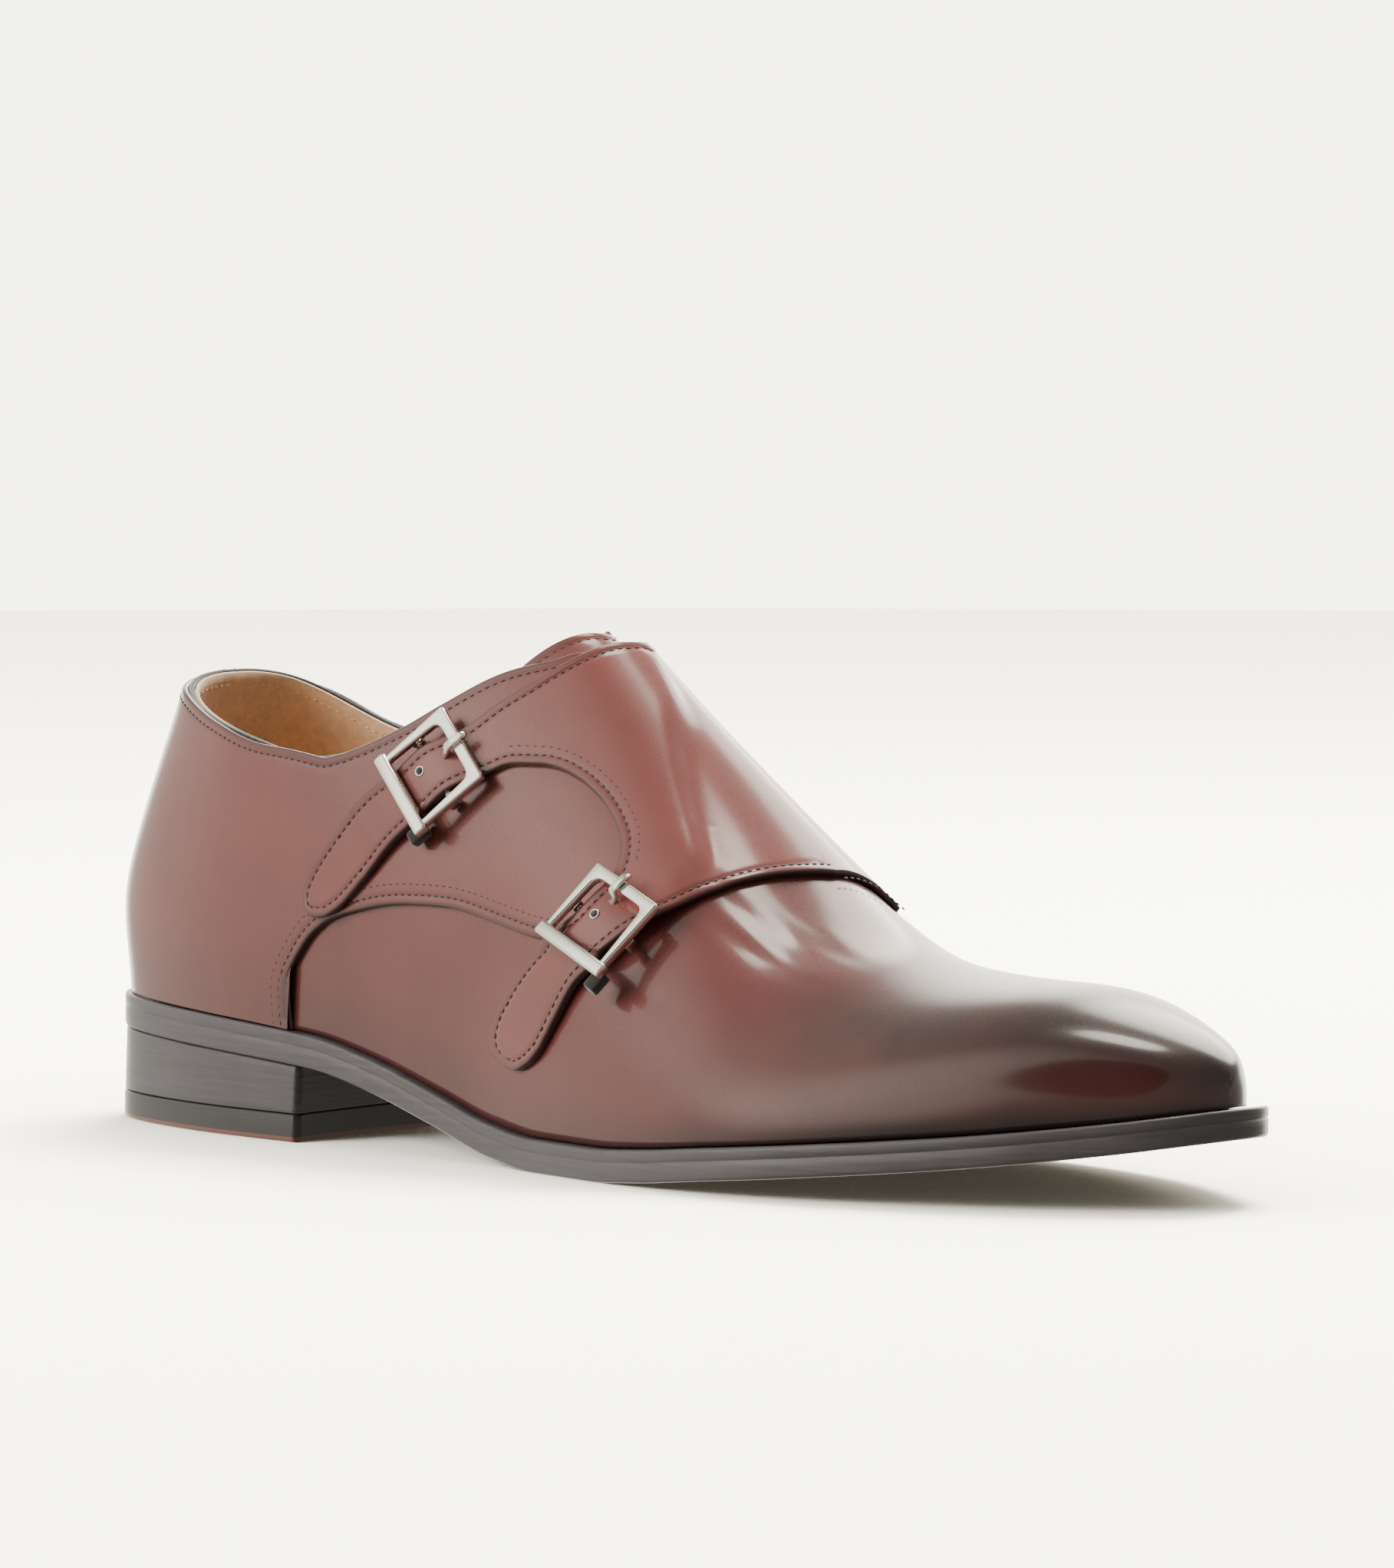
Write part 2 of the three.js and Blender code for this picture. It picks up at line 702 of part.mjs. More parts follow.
// Outline of the sole at a plan inset, heel to toe on the outer side and back on the inner side
const SOLE_STEPS = 40;
function soleOutline(inset, steps = SOLE_STEPS, end = 1) {
  const side = (width, sign) => Array.from({ length: steps + 1 }, (_, i) => {
    const s = (end * i) / steps;
    const step = 0.001;
    const point = (k) => new THREE.Vector2(planAt(k) * LENGTH, sign * width(k) * BALL_WIDTH);
    const ahead = point(Math.min(s + step, 1)).sub(point(Math.max(s - step, 0))).normalize();
    if (i === 0) {
      ahead.set(0, sign);
    } else if (i === steps && end === 1) {
      ahead.set(0, -sign);
    }
    return point(s).add(new THREE.Vector2(-ahead.y, ahead.x).multiplyScalar(-sign * inset));
  });
  return { outer: side(planOuter, -1), inner: side(planInner, 1) };
}

// Solid through level rings that share one outline; each ring has an inset and a height function
function stack(levels, steps, end) {
  const points = [];
  const faces = [];
  let ringSize = 0;
  for (const level of levels) {
    const { outer, inner } = soleOutline(level.inset, steps, end);
    const closed = end === undefined || end === 1;
    const ring = [...outer, ...inner.slice(1, closed ? -1 : undefined).reverse()];
    ringSize = ring.length;
    for (const p of ring) {
      points.push(new THREE.Vector3(p.x, p.y, level.z(p.x)));
    }
  }
  for (let k = 0; k < levels.length - 1; k += 1) {
    for (let i = 0; i < ringSize; i += 1) {
      const j = (i + 1) % ringSize;
      const a = k * ringSize;
      const b = a + ringSize;
      faces.push([a + i, a + j, b + j], [a + i, b + j, b + i]);
    }
  }
  const top = (levels.length - 1) * ringSize;
  const cap = (base, flip) => {
    for (let i = 0; i < Math.floor(ringSize / 2); i += 1) {
      const [a, b] = [i, i + 1];
      const [c, d] = [(ringSize - i) % ringSize, ringSize - 1 - i];
      for (const tri of [[a, b, d], [a, d, c]]) {
        const [p, q, r] = tri.map((v) => base + v);
        if (p !== q && q !== r && r !== p) {
          faces.push(flip ? [p, r, q] : [p, q, r]);
        }
      }
    }
  };
  cap(0, true);
  cap(top, false);
  return solid(points, faces);
}

function outsole() {
  return stack([
    { inset: EDGE_BEVEL, z: (x) => underside(x) },
    { inset: 0, z: (x) => underside(x) + EDGE_BEVEL * 0.5 },
    { inset: 0, z: (x) => soleTop(x) - EDGE_BEVEL },
    { inset: EDGE_BEVEL, z: (x) => soleTop(x) },
  ]);
}

const HEEL_STEPS = 14;
const HEEL_END = stationOf(HEEL_LENGTH / LENGTH);

function heelBlock() {
  return stack([
    { inset: -HEEL_FLARE * 0.6, z: () => TOP_PIECE + FIT },
    { inset: HEEL_WAIST, z: (x) => lerp(TOP_PIECE + FIT, underside(x), 0.6) },
    { inset: HEEL_WAIST, z: (x) => underside(x) - FIT },
  ], HEEL_STEPS, HEEL_END);
}

function heelTopPiece() {
  return stack([
    { inset: -HEEL_FLARE, z: () => 0 },
    { inset: -HEEL_FLARE * 0.6, z: () => TOP_PIECE },
  ], HEEL_STEPS, HEEL_END);
}

// The insole fills the foot line inside the wall
const INSOLE_STEPS = 34;
function insole() {
  const points = [];
  const faces = [];
  const rows = [0, INSOLE];
  const n = INSOLE_STEPS;
  const ringSize = 2 * n;
  const inward = -(WALL + 2 * FIT);
  for (const rise of rows) {
    const ring = [];
    for (let i = 0; i <= n; i += 1) {
      ring.push(skin(i / n, -0.99, inward));
    }
    for (let i = n - 1; i > 0; i -= 1) {
      ring.push(skin(i / n, 0.99, inward));
    }
    for (const p of ring) {
      points.push(new THREE.Vector3(p.x, p.y, soleTop(p.x) + FIT + rise));
    }
  }
  for (let i = 0; i < ringSize; i += 1) {
    const j = (i + 1) % ringSize;
    faces.push([i, j, ringSize + j], [i, ringSize + j, ringSize + i]);
  }
  for (let i = 0; i < n; i += 1) {
    const [a, b, c, d] = [i, i + 1, (ringSize - i) % ringSize, ringSize - 1 - i];
    for (const [p, q, r] of [[a, b, d], [a, d, c]]) {
      if (p !== q && q !== r && r !== p) {
        faces.push([p, r, q], [ringSize + p, ringSize + q, ringSize + r]);
      }
    }
  }
  return solid(points, faces);
}

function tongueSheet() {
  const sheet = newSheet();
  const order = TONGUE_RIBS.edgeAt.map((_, i) => i);
  const edgeAt = smooth(order, TONGUE_RIBS.edgeAt);
  const edge = smooth(order, TONGUE_RIBS.edge);
  const midAt = smooth(order, TONGUE_RIBS.midAt);
  addPatch(sheet, shares(7), shares(14), (t, u) => {
    const k = t * (order.length - 1);
    const across = 2 * u - 1;
    const at = lerp(midAt(k), edgeAt(k), Math.abs(across) ** 1.3);
    return [stationOf(at), across * edge(k)];
  });
  return sheet;
}

const FLAP_ROWS = shares(7);
function innerQuarterSheet() {
  const sheet = newSheet();
  const quarter = quarterRibs(INNER_QUARTER);
  const count = INNER_QUARTER.low.length - 1;
  const body = ribs(quarter, 0, count - RIDGE_RIBS);
  const front = ribs(quarter, count - RIDGE_RIBS, count);
  const flap = flapRibs();
  const turn = UPPER_STRAP.along1.length + FLAP_RIDGE;
  const over = ribs(flap, turn, turn + RIDGE_RIBS);
  const columns = evenShares(over, 1, 6);
  addPatch(sheet, evenShares(body, 0.5, 5.5), shares(9), (t, u) => body(t, 1 - u));
  addPatch(sheet, columns, shares(9), (t, u) => (u === 0 ? over(t, 1) : front(t, 1 - u)));
  addPatch(sheet, columns, FLAP_ROWS, over);
  for (const [first, stop] of [[0, turn], [turn + RIDGE_RIBS, flap.low.length - 1]]) {
    const place = ribs(flap, first, stop);
    addPatch(sheet, evenShares(place, 0.5, 5), FLAP_ROWS, place);
  }
  return sheet;
}

// Frame of a buckle, its keeper bar and its hidden centre bar, in the plane of the buckle
function roundedRectangle(length, width, radius) {
  const shape = new THREE.Shape();
  const [x, y] = [length / 2, width / 2];
  shape.moveTo(-x + radius, -y);
  shape.lineTo(x - radius, -y);
  shape.absarc(x - radius, -y + radius, radius, -Math.PI / 2, 0);
  shape.lineTo(x, y - radius);
  shape.absarc(x - radius, y - radius, radius, 0, Math.PI / 2);
  shape.lineTo(-x + radius, y);
  shape.absarc(-x + radius, y - radius, radius, Math.PI / 2, Math.PI);
  shape.lineTo(-x, -y + radius);
  shape.absarc(-x + radius, -y + radius, radius, Math.PI, 1.5 * Math.PI);
  return shape;
}

function toManifold(geometry) {
  const plain = geometry.clone();
  for (const name of Object.keys(plain.attributes)) {
    if (name !== 'position') {
      plain.deleteAttribute(name);
    }
  }
  const merged = mergeVertices(plain, 1e-4);
  return new wasm.Manifold(new wasm.Mesh({
    numProp: 3,
    vertProperties: new Float32Array(merged.attributes.position.array),
    triVerts: new Uint32Array(merged.index.array),
  }));
}

function fromManifold(manifold) {
  const mesh = manifold.getMesh();
  const geometry = new THREE.BufferGeometry();
  geometry.setAttribute('position', new THREE.BufferAttribute(new Float32Array(mesh.vertProperties), 3));
  geometry.setIndex([...mesh.triVerts]);
  return geometry;
}

function buckleFrame(barDrop) {
  const outline = roundedRectangle(FRAME_LENGTH, FRAME_WIDTH, FRAME_BAR / 2);
  outline.holes.push(roundedRectangle(FRAME_LENGTH - 2 * FRAME_BAR, FRAME_WIDTH - 2 * FRAME_BAR, 0.7 * FRAME_BAR));
  const bevel = FRAME_BEVEL;
  const frame = new THREE.ExtrudeGeometry(outline, {
    depth: FRAME_DEPTH - 2 * bevel,
    bevelThickness: bevel,
    bevelSize: bevel,
    bevelOffset: -bevel,
    bevelSegments: 1,
    curveSegments: 2,
  }).translate(0, 0, bevel);
  const keeperRun = FRAME_WIDTH - KEEPER_WIDTH + 2 * KEEPER_OVERHANG;
  const keeper = new THREE.CapsuleGeometry(KEEPER_WIDTH / 2, keeperRun, 2, 8)
    .scale(1, 1, KEEPER_FLAT)
    .translate(-(FRAME_LENGTH - FRAME_BAR) / 2, 0, (KEEPER_WIDTH * KEEPER_FLAT) / 2);
  const bar = new THREE.CylinderGeometry(CENTRE_BAR / 2, CENTRE_BAR / 2, FRAME_WIDTH - FRAME_BAR, 6);
  bar.translate(0, 0, -barDrop);
  let body = toManifold(frame).add(toManifold(keeper)).add(toManifold(bar));
  const lugHeight = barDrop + (FRAME_DEPTH + CENTRE_BAR) / 2;
  for (const side of [-1, 1]) {
    const lug = new THREE.BoxGeometry(2 * CENTRE_BAR, 0.7 * FRAME_BAR, lugHeight);
    lug.translate(0, (side * (FRAME_WIDTH - FRAME_BAR)) / 2, (FRAME_DEPTH - lugHeight) / 2);
    body = body.add(toManifold(lug));
  }
  return fromManifold(body);
}

function prong(foot) {
  const tip = FRAME_LENGTH / 2 + PRONG_REACH;
  const level = FRAME_DEPTH + FIT + PRONG / 2;
  const path = new THREE.CatmullRomCurve3([
    new THREE.Vector3(PRONG_HOLE, 0, foot),
    new THREE.Vector3(tip - FRAME_BAR - 2 * PRONG_REACH, 0, level),
    new THREE.Vector3(tip, 0, level),
  ]);
  const shape = new THREE.Shape().absarc(0, 0, PRONG / 2, 0, 2 * Math.PI);
  return new THREE.ExtrudeGeometry(shape, { steps: 6, curveSegments: 4, extrudePath: path });
}

function mesh(name, geometry, finish) {
  const body = new THREE.Mesh(geometry, new THREE.MeshStandardMaterial(finish));
  body.name = name;
  return body;
}

const shoe = new THREE.Group();
shoe.add(mesh('outsole', outsole(), SOLE_LEATHER));
shoe.add(mesh('heel_block', heelBlock(), SOLE_LEATHER));
shoe.add(mesh('heel_top_piece', heelTopPiece(), RUBBER));
shoe.add(mesh('insole', insole(), LINING));
shoe.add(mesh('upper', slab(upperSheet(), () => -WALL, () => 0), CALF));
shoe.add(mesh('outer_quarter', slab(outerQuarterSheet(), () => LAYER_FIT, () => LAYER_FIT + LEATHER), CALF));
shoe.add(mesh('inner_quarter', slab(innerQuarterSheet(), flapLift, (s, a) => flapLift(s, a) + LEATHER), CALF));
const tongueTop = -(WALL + TONGUE_TUCK);
shoe.add(mesh('tongue', slab(tongueSheet(), () => tongueTop - TONGUE, () => tongueTop), CALF));

// A frame rests on the strap, with its centre bar just under it and its prong just over it
const STRAP_BASE = 2 * LAYER_FIT + LEATHER;
for (const strap of straps) {
  const pitch = THREE.MathUtils.degToRad(strap.pitch);
  const along = strap.along.clone().applyAxisAngle(strap.across, pitch);
  const up = strap.up.clone().applyAxisAngle(strap.across, pitch);
  const turn = new THREE.Matrix4().makeBasis(along, strap.across, up);
  const dip = (FRAME_LENGTH / 2) * Math.sin(pitch);
  const seat = STRAP_BASE + LEATHER + hump(FRAME_LENGTH / 2 - FRAME_BAR) + FIT + dip;
  const place = strap.centre.clone().addScaledVector(strap.up, seat);
  const barDrop = seat + FIT / 2 + CENTRE_BAR / 2 - STRAP_BASE - STRAP_RISE;
  const foot = STRAP_BASE + LEATHER + hump(PRONG_HOLE) + FIT + PRONG / 2 - seat;
  for (const [name, geometry] of [['buckle', buckleFrame(barDrop)], ['prong', prong(foot)]]) {
    const piece = mesh(`${name}_${strap.name}`, geometry, NICKEL);
    piece.quaternion.setFromRotationMatrix(turn);
    piece.position.copy(place);
    shoe.add(piece);
  }
}

// The origin is the middle of the bounding box, on the floor
const box = new THREE.Box3().setFromObject(shoe);
shoe.position.set(-(box.min.x + box.max.x) / 2, -(box.min.y + box.max.y) / 2, -box.min.z);

export default shoe;
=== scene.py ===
"""Double monk strap shoe, the right one, dressed piece by piece around its packed solids."""
import math

import bmesh
import bpy
import numpy as np
from mathutils import Matrix, Vector
from mathutils.kdtree import KDTree


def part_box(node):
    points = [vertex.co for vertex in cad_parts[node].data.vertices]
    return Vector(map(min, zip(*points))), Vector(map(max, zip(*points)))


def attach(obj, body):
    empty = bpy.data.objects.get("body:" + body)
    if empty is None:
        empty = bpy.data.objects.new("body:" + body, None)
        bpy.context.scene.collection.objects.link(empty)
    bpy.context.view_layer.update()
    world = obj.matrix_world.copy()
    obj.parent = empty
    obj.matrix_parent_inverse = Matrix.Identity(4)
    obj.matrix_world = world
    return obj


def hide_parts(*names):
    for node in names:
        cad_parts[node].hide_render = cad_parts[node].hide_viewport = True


bl_info = {
    "name": "Double Monk Strap Shoe",
    "version": (1, 0, 0),
    "blender": (4, 5, 0),
    "location": "View3D > Sidebar > Shoe",
    "description": "Dresses a packed double monk strap shoe: leathers, stitching, buckles, sole and heel",
    "category": "Object",
}

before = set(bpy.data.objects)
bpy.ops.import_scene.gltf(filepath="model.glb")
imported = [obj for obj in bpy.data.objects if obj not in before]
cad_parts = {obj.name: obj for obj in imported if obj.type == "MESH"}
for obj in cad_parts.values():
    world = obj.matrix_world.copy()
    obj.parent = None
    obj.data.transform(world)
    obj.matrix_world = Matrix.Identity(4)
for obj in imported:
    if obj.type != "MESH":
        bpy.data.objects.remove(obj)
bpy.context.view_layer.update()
MM = 0.001

# Sizes of the last and sole, millimetres, as the packed solids have them
LENGTH = 305.0
BALL_WIDTH = 100.0
INSTEP_HEIGHT = 106.0
BACK_HEIGHT = 97.0
HEEL_HEIGHT = 20.5
TOE_SPRING = 14.4
HEEL_LENGTH = 75.0
SOLE_EDGE_HEEL = 7.5
SOLE_EDGE_TOE = 6.3
TOP_PIECE = 6.0
LEDGE_HEEL = 1.9
LEDGE_TOE = 4.3
FIT = 0.3
LAYER_FIT = 0.45
CAD_LEATHER = 1.2
STRAP_WIDTH = 13.6
STRAP_RISE = 2.1
FRAME_LENGTH = 19.4
FRAME_WIDTH = 20.2
FRAME_BAR = 2.5
FRAME_DEPTH = 2.0
KEEPER_WIDTH = 3.2

# Plan of the sole. at: share of the length. outer, inner: shares of the ball width.
PLAN = np.array([
    (0.000, 0.000, 0.000), (0.010, 0.150, 0.150), (0.039, 0.245, 0.250), (0.092, 0.305, 0.318),
    (0.164, 0.345, 0.333), (0.250, 0.360, 0.318), (0.328, 0.370, 0.285), (0.426, 0.400, 0.270),
    (0.525, 0.458, 0.330), (0.607, 0.502, 0.420), (0.672, 0.516, 0.480), (0.738, 0.496, 0.485),
    (0.820, 0.422, 0.430), (0.892, 0.324, 0.345), (0.951, 0.204, 0.240), (0.987, 0.096, 0.150),
    (1.000, -0.035, 0.035),
])
# Underside of the sole. at: share of the length. heel, toe: shares of the heel height and toe spring.
UNDERSIDE = np.array([
    (0.000, 1.000, 0.000), (0.256, 0.785, 0.000), (0.320, 0.605, 0.000), (0.387, 0.332, 0.000),
    (0.450, 0.083, 0.000), (0.500, 0.000, 0.000), (0.560, 0.000, 0.000), (0.615, 0.000, 0.070),
    (0.672, 0.000, 0.190), (0.764, 0.000, 0.370), (0.862, 0.000, 0.580), (0.944, 0.000, 0.805),
    (1.000, 0.000, 1.000),
])
# Sections: inset, ridge, top, then lean, grip and crown of the outer side and of the inner side
SECTIONS = np.array([
    *[(0.925, 0.000, 1.415, 4, 0.45, 0.60, 4, 0.45, 0.60)] * 4,
    (0.930, 0.000, 1.415, 4, 0.45, 0.60, 4, 0.45, 0.60),
    (0.935, 0.010, 1.406, 3, 0.42, 0.58, 2, 0.42, 0.58),
    (0.940, 0.020, 1.278, 3, 0.38, 0.52, 0, 0.38, 0.52),
    (0.945, 0.030, 1.076, 4, 0.36, 0.50, 2, 0.36, 0.50),
    (0.940, 0.040, 0.845, 8, 0.36, 0.50, 8, 0.40, 0.50),
    (0.930, 0.050, 0.649, 12, 0.36, 0.52, 12, 0.45, 0.50),
    (0.930, 0.050, 0.500, 14, 0.38, 0.55, 14, 0.48, 0.52),
    (0.930, 0.050, 0.425, 14, 0.42, 0.60, 12, 0.48, 0.56),
    (0.925, 0.045, 0.406, 12, 0.50, 0.68, 10, 0.50, 0.64),
    (0.920, 0.040, 0.396, 9, 0.58, 0.74, 9, 0.58, 0.72),
    (0.910, 0.037, 0.350, 6, 0.62, 0.78, 6, 0.62, 0.78),
    (0.880, 0.036, 0.300, 4, 0.62, 0.80, 4, 0.62, 0.80),
    (0.850, 0.035, 0.245, 0, 0.60, 0.80, 0, 0.60, 0.80),
])
# Curve of the heel's back: up and forward, shares of the back height
HEEL_BACK = np.array([
    (0.206, 0.006), (0.330, 0.010), (0.495, 0.001), (0.639, 0.045),
    (0.825, 0.126), (1.010, 0.193), (1.186, 0.219), (1.546, 0.310),
])
HEEL_BACK_REACH = 0.311
# Top edge of the wall: share of the length, and places around the foot, outer and inner
TOPLINE = np.array([
    (0.000, -0.580, 0.580), (0.036, -0.602, 0.606), (0.110, -0.633, 0.653), (0.189, -0.654, 0.672),
    (0.251, -0.649, 0.660), (0.288, -0.607, 0.612), (0.322, -0.541, 0.545), (0.356, -0.455, 0.455),
    (0.394, -0.343, 0.340), (0.424, -0.250, 0.230), (0.446, -0.140, 0.120), (0.462, 0.000, 0.000),
])
# Ribs of each leather, low edge and high edge: along, around, along, around
OUTER_QUARTER = np.array([
    (0.000, -1.000, 0.000, -0.580), (0.036, -1.000, 0.036, -0.602), (0.110, -1.000, 0.110, -0.633),
    (0.180, -1.000, 0.189, -0.654), (0.2340, -1.000, 0.251, -0.649), (0.2320, -0.950, 0.268, -0.635),
    (0.2500, -0.888, 0.288, -0.607), (0.2690, -0.850, 0.322, -0.541), (0.3100, -0.797, 0.356, -0.455),
    (0.3553, -0.747, 0.394, -0.343), (0.4015, -0.705, 0.424, -0.250), (0.4419, -0.679, 0.446, -0.165),
    (0.4762, -0.659, 0.470, -0.200), (0.5200, -0.620, 0.510, -0.250), (0.5600, -0.560, 0.556, -0.330),
])
INNER_QUARTER = np.array([
    (0.000, 1.000, 0.000, 0.580), (0.036, 1.000, 0.036, 0.606), (0.110, 1.000, 0.110, 0.653),
    (0.180, 1.000, 0.189, 0.672), (0.2340, 1.000, 0.251, 0.660), (0.2500, 0.888, 0.288, 0.612),
    (0.2910, 0.820, 0.322, 0.545), (0.3400, 0.765, 0.356, 0.455), (0.3950, 0.715, 0.394, 0.340),
    (0.4500, 0.675, 0.424, 0.230), (0.4950, 0.640, 0.446, 0.120), (0.5350, 0.600, 0.465, 0.000),
    (0.5700, 0.550, 0.508, 0.000), (0.6000, 0.495, 0.551, 0.000), (0.6230, 0.430, 0.594, 0.000),
    (0.6365, 0.350, 0.638, 0.000),
])
RIDGE_RIBS = 4
FLAP = np.array([
    (0.4240, -0.459, 0.4030, -0.385), (0.4437, -0.425, 0.4250, -0.295), (0.4560, -0.405, 0.4420, -0.190),
    (0.4673, -0.391, 0.4560, -0.070), (0.4790, -0.381, 0.4650, 0.000), (0.4903, -0.375, 0.5080, 0.000),
    (0.5015, -0.374, 0.5510, 0.000), (0.5126, -0.378, 0.5940, 0.000), (0.5225, -0.387, 0.6380, 0.000),
    (0.5307, -0.400, 0.6330, -0.088), (0.5358, -0.420, 0.6240, -0.185), (0.5382, -0.440, 0.6120, -0.285),
])
FLAP_RIDGE = 4
# Ribs of each strap, shares of its width: along and across of its upper edge, then of its lower edge
UPPER_STRAP = np.array([
    (0.71, 0.32, 0.70, -0.62), (0.00, 0.50, 0.00, -0.43), (-0.48, 0.52, -0.48, -0.41),
    (-1.29, 0.68, -1.24, -0.33), (-2.07, 0.64, -2.05, -0.37), (-2.85, 0.52, -2.74, -0.33),
    (-3.13, 0.40, -3.04, -0.22), (-3.26, 0.24, -3.21, -0.06), (-3.29, 0.12, -3.28, 0.02),
])
LOWER_STRAP = np.array([
    (0.70, 0.57, 0.68, -0.62), (0.00, 0.53, 0.00, -0.44), (-0.45, 0.76, -0.45, -0.28),
    (-0.92, 1.03, -0.92, -0.05), (-1.55, 1.25, -1.58, 0.01), (-2.10, 1.34, -2.08, 0.10),
    (-2.36, 1.28, -2.36, 0.28), (-2.52, 1.10, -2.54, 0.52), (-2.57, 0.92, -2.575, 0.74),
])
# Front edge of the outer quarter under the flap: around, along
UNDERLAP = np.array([
    (-1.000, 0.234), (-0.800, 0.305), (-0.705, 0.400), (-0.659, 0.476), (-0.560, 0.575),
    (-0.330, 0.575), (-0.210, 0.530), (-0.150, 0.510), (-0.060, 0.490), (0.000, 0.460),
])
UNDERLAP_FADE = 0.035
TONGUE_RIBS = np.array([
    (0.390, 0.355, 0.437), (0.410, 0.350, 0.455), (0.450, 0.340, 0.480),
    (0.500, 0.330, 0.515), (0.550, 0.320, 0.555),
])
# Ribs of the whole flap where it turns over the ridge, and where it leaves it
FLAP_TURN = len(UPPER_STRAP) + FLAP_RIDGE
FLAP_STOP = FLAP_TURN + RIDGE_RIBS
# Rise of a strap over its buckle's bar: frame lengths along, share of the rise
HUMP = np.array([
    (-1.80, 0.00), (-1.25, 0.15), (-0.75, 0.42), (-0.50, 0.58), (-0.25, 0.90),
    (0.00, 1.00), (0.20, 0.78), (0.38, 0.30), (0.62, 0.00), (1.80, 0.00),
])
FADE_AHEAD = (0.65, 1.00)
FADE_BEHIND = (1.40, 2.00)
# Places along and around of each buckle's bar and of the strap's root, its tilt in degrees, and its
# hole and prong in shares of the strap's width
BUCKLES = {
    "upper": {"middle": (0.3672, -0.552), "head": (0.4070, -0.413), "pitch": 3.0, "ribs": UPPER_STRAP,
              "holes": (-0.17, 0.16), "prong": (0.31, 0.08)},
    "lower": {"middle": (0.5508, -0.553), "head": (0.5705, -0.381), "pitch": 6.0, "ribs": LOWER_STRAP,
              "holes": (0.05, 0.20), "prong": (0.36, 0.11)},
}


# ---- curves and the last ----

def spline(xs, ys, flat=False):
    """Cubic spline through points; its ends are free, or level where flat is true."""
    n = len(xs)
    h = np.diff(xs)
    slope = np.diff(ys) / h
    grid = np.eye(n)
    right = np.zeros(n)
    for i in range(1, n - 1):
        grid[i, i - 1:i + 2] = (h[i - 1], 2 * (h[i - 1] + h[i]), h[i])
        right[i] = 6 * (slope[i] - slope[i - 1])
    if flat:
        grid[0, :2] = (2 * h[0], h[0])
        right[0] = 6 * slope[0]
        grid[-1, -2:] = (h[-1], 2 * h[-1])
        right[-1] = -6 * slope[-1]
    bend = np.linalg.solve(grid, right)

    def curve(x):
        i = np.clip(np.searchsorted(xs, x, side="left") - 1, 0, n - 2)
        a = (xs[i + 1] - x) / h[i]
        b = 1 - a
        swing = (a ** 3 - a) * bend[i] + (b ** 3 - b) * bend[i + 1]
        return a * ys[i] + b * ys[i + 1] + swing * h[i] ** 2 / 6
    return curve


def smooth(xs, ys):
    """Curve through points that never swings past them."""
    xs, ys = np.asarray(xs, float), np.asarray(ys, float)
    step = np.diff(ys) / np.diff(xs)
    slopes = np.empty(len(xs))
    slopes[0], slopes[-1] = step[0], step[-1]
    before, after = step[:-1], step[1:]
    total = np.where(before + after == 0, 1, before + after)
    slopes[1:-1] = np.where(before * after > 0, 2 * before * after / total, 0)

    def curve(x):
        held = np.clip(x, xs[0], xs[-1])
        i = np.clip(np.searchsorted(xs, held, side="left") - 1, 0, len(xs) - 2)
        h = xs[i + 1] - xs[i]
        t = (held - xs[i]) / h
        start = ys[i] * (1 + 2 * t) * (1 - t) ** 2 + slopes[i] * h * t * (1 - t) ** 2
        return start + ys[i + 1] * t * t * (3 - 2 * t) + slopes[i + 1] * h * t * t * (t - 1)
    return curve


def smoothstep(x, low, high):
    t = np.clip((x - low) / (high - low), 0, 1)
    return t * t * (3 - 2 * t)


def lerp(a, b, t):
    return a + (b - a) * t


STATIONS = np.arange(len(PLAN)) / (len(PLAN) - 1)
plan_at = spline(STATIONS, PLAN[:, 0], True)
plan_outer = spline(STATIONS, PLAN[:, 1])
plan_inner = spline(STATIONS, PLAN[:, 2])
section = [spline(STATIONS, column) for column in SECTIONS.T]
underside = smooth(UNDERSIDE[:, 0] * LENGTH, UNDERSIDE[:, 1] * HEEL_HEIGHT + UNDERSIDE[:, 2] * TOE_SPRING)
heel_back = spline(HEEL_BACK[:, 0] * BACK_HEIGHT, HEEL_BACK[:, 1] * BACK_HEIGHT)
# Share of the back seam that stays open between the quarters
SEAM_GAP = 0.01
BACK_SEAM = FIT / 2 / BALL_WIDTH / PLAN[1, 1] * STATIONS[1]
_fine = np.linspace(0, 1, 4001)
_fine_at = np.maximum.accumulate(plan_at(_fine))


def station_of(at):
    return np.interp(at, _fine_at, _fine)


def sole_top(x):
    return underside(x) + lerp(SOLE_EDGE_HEEL, SOLE_EDGE_TOE, np.clip(x / LENGTH, 0, 1))


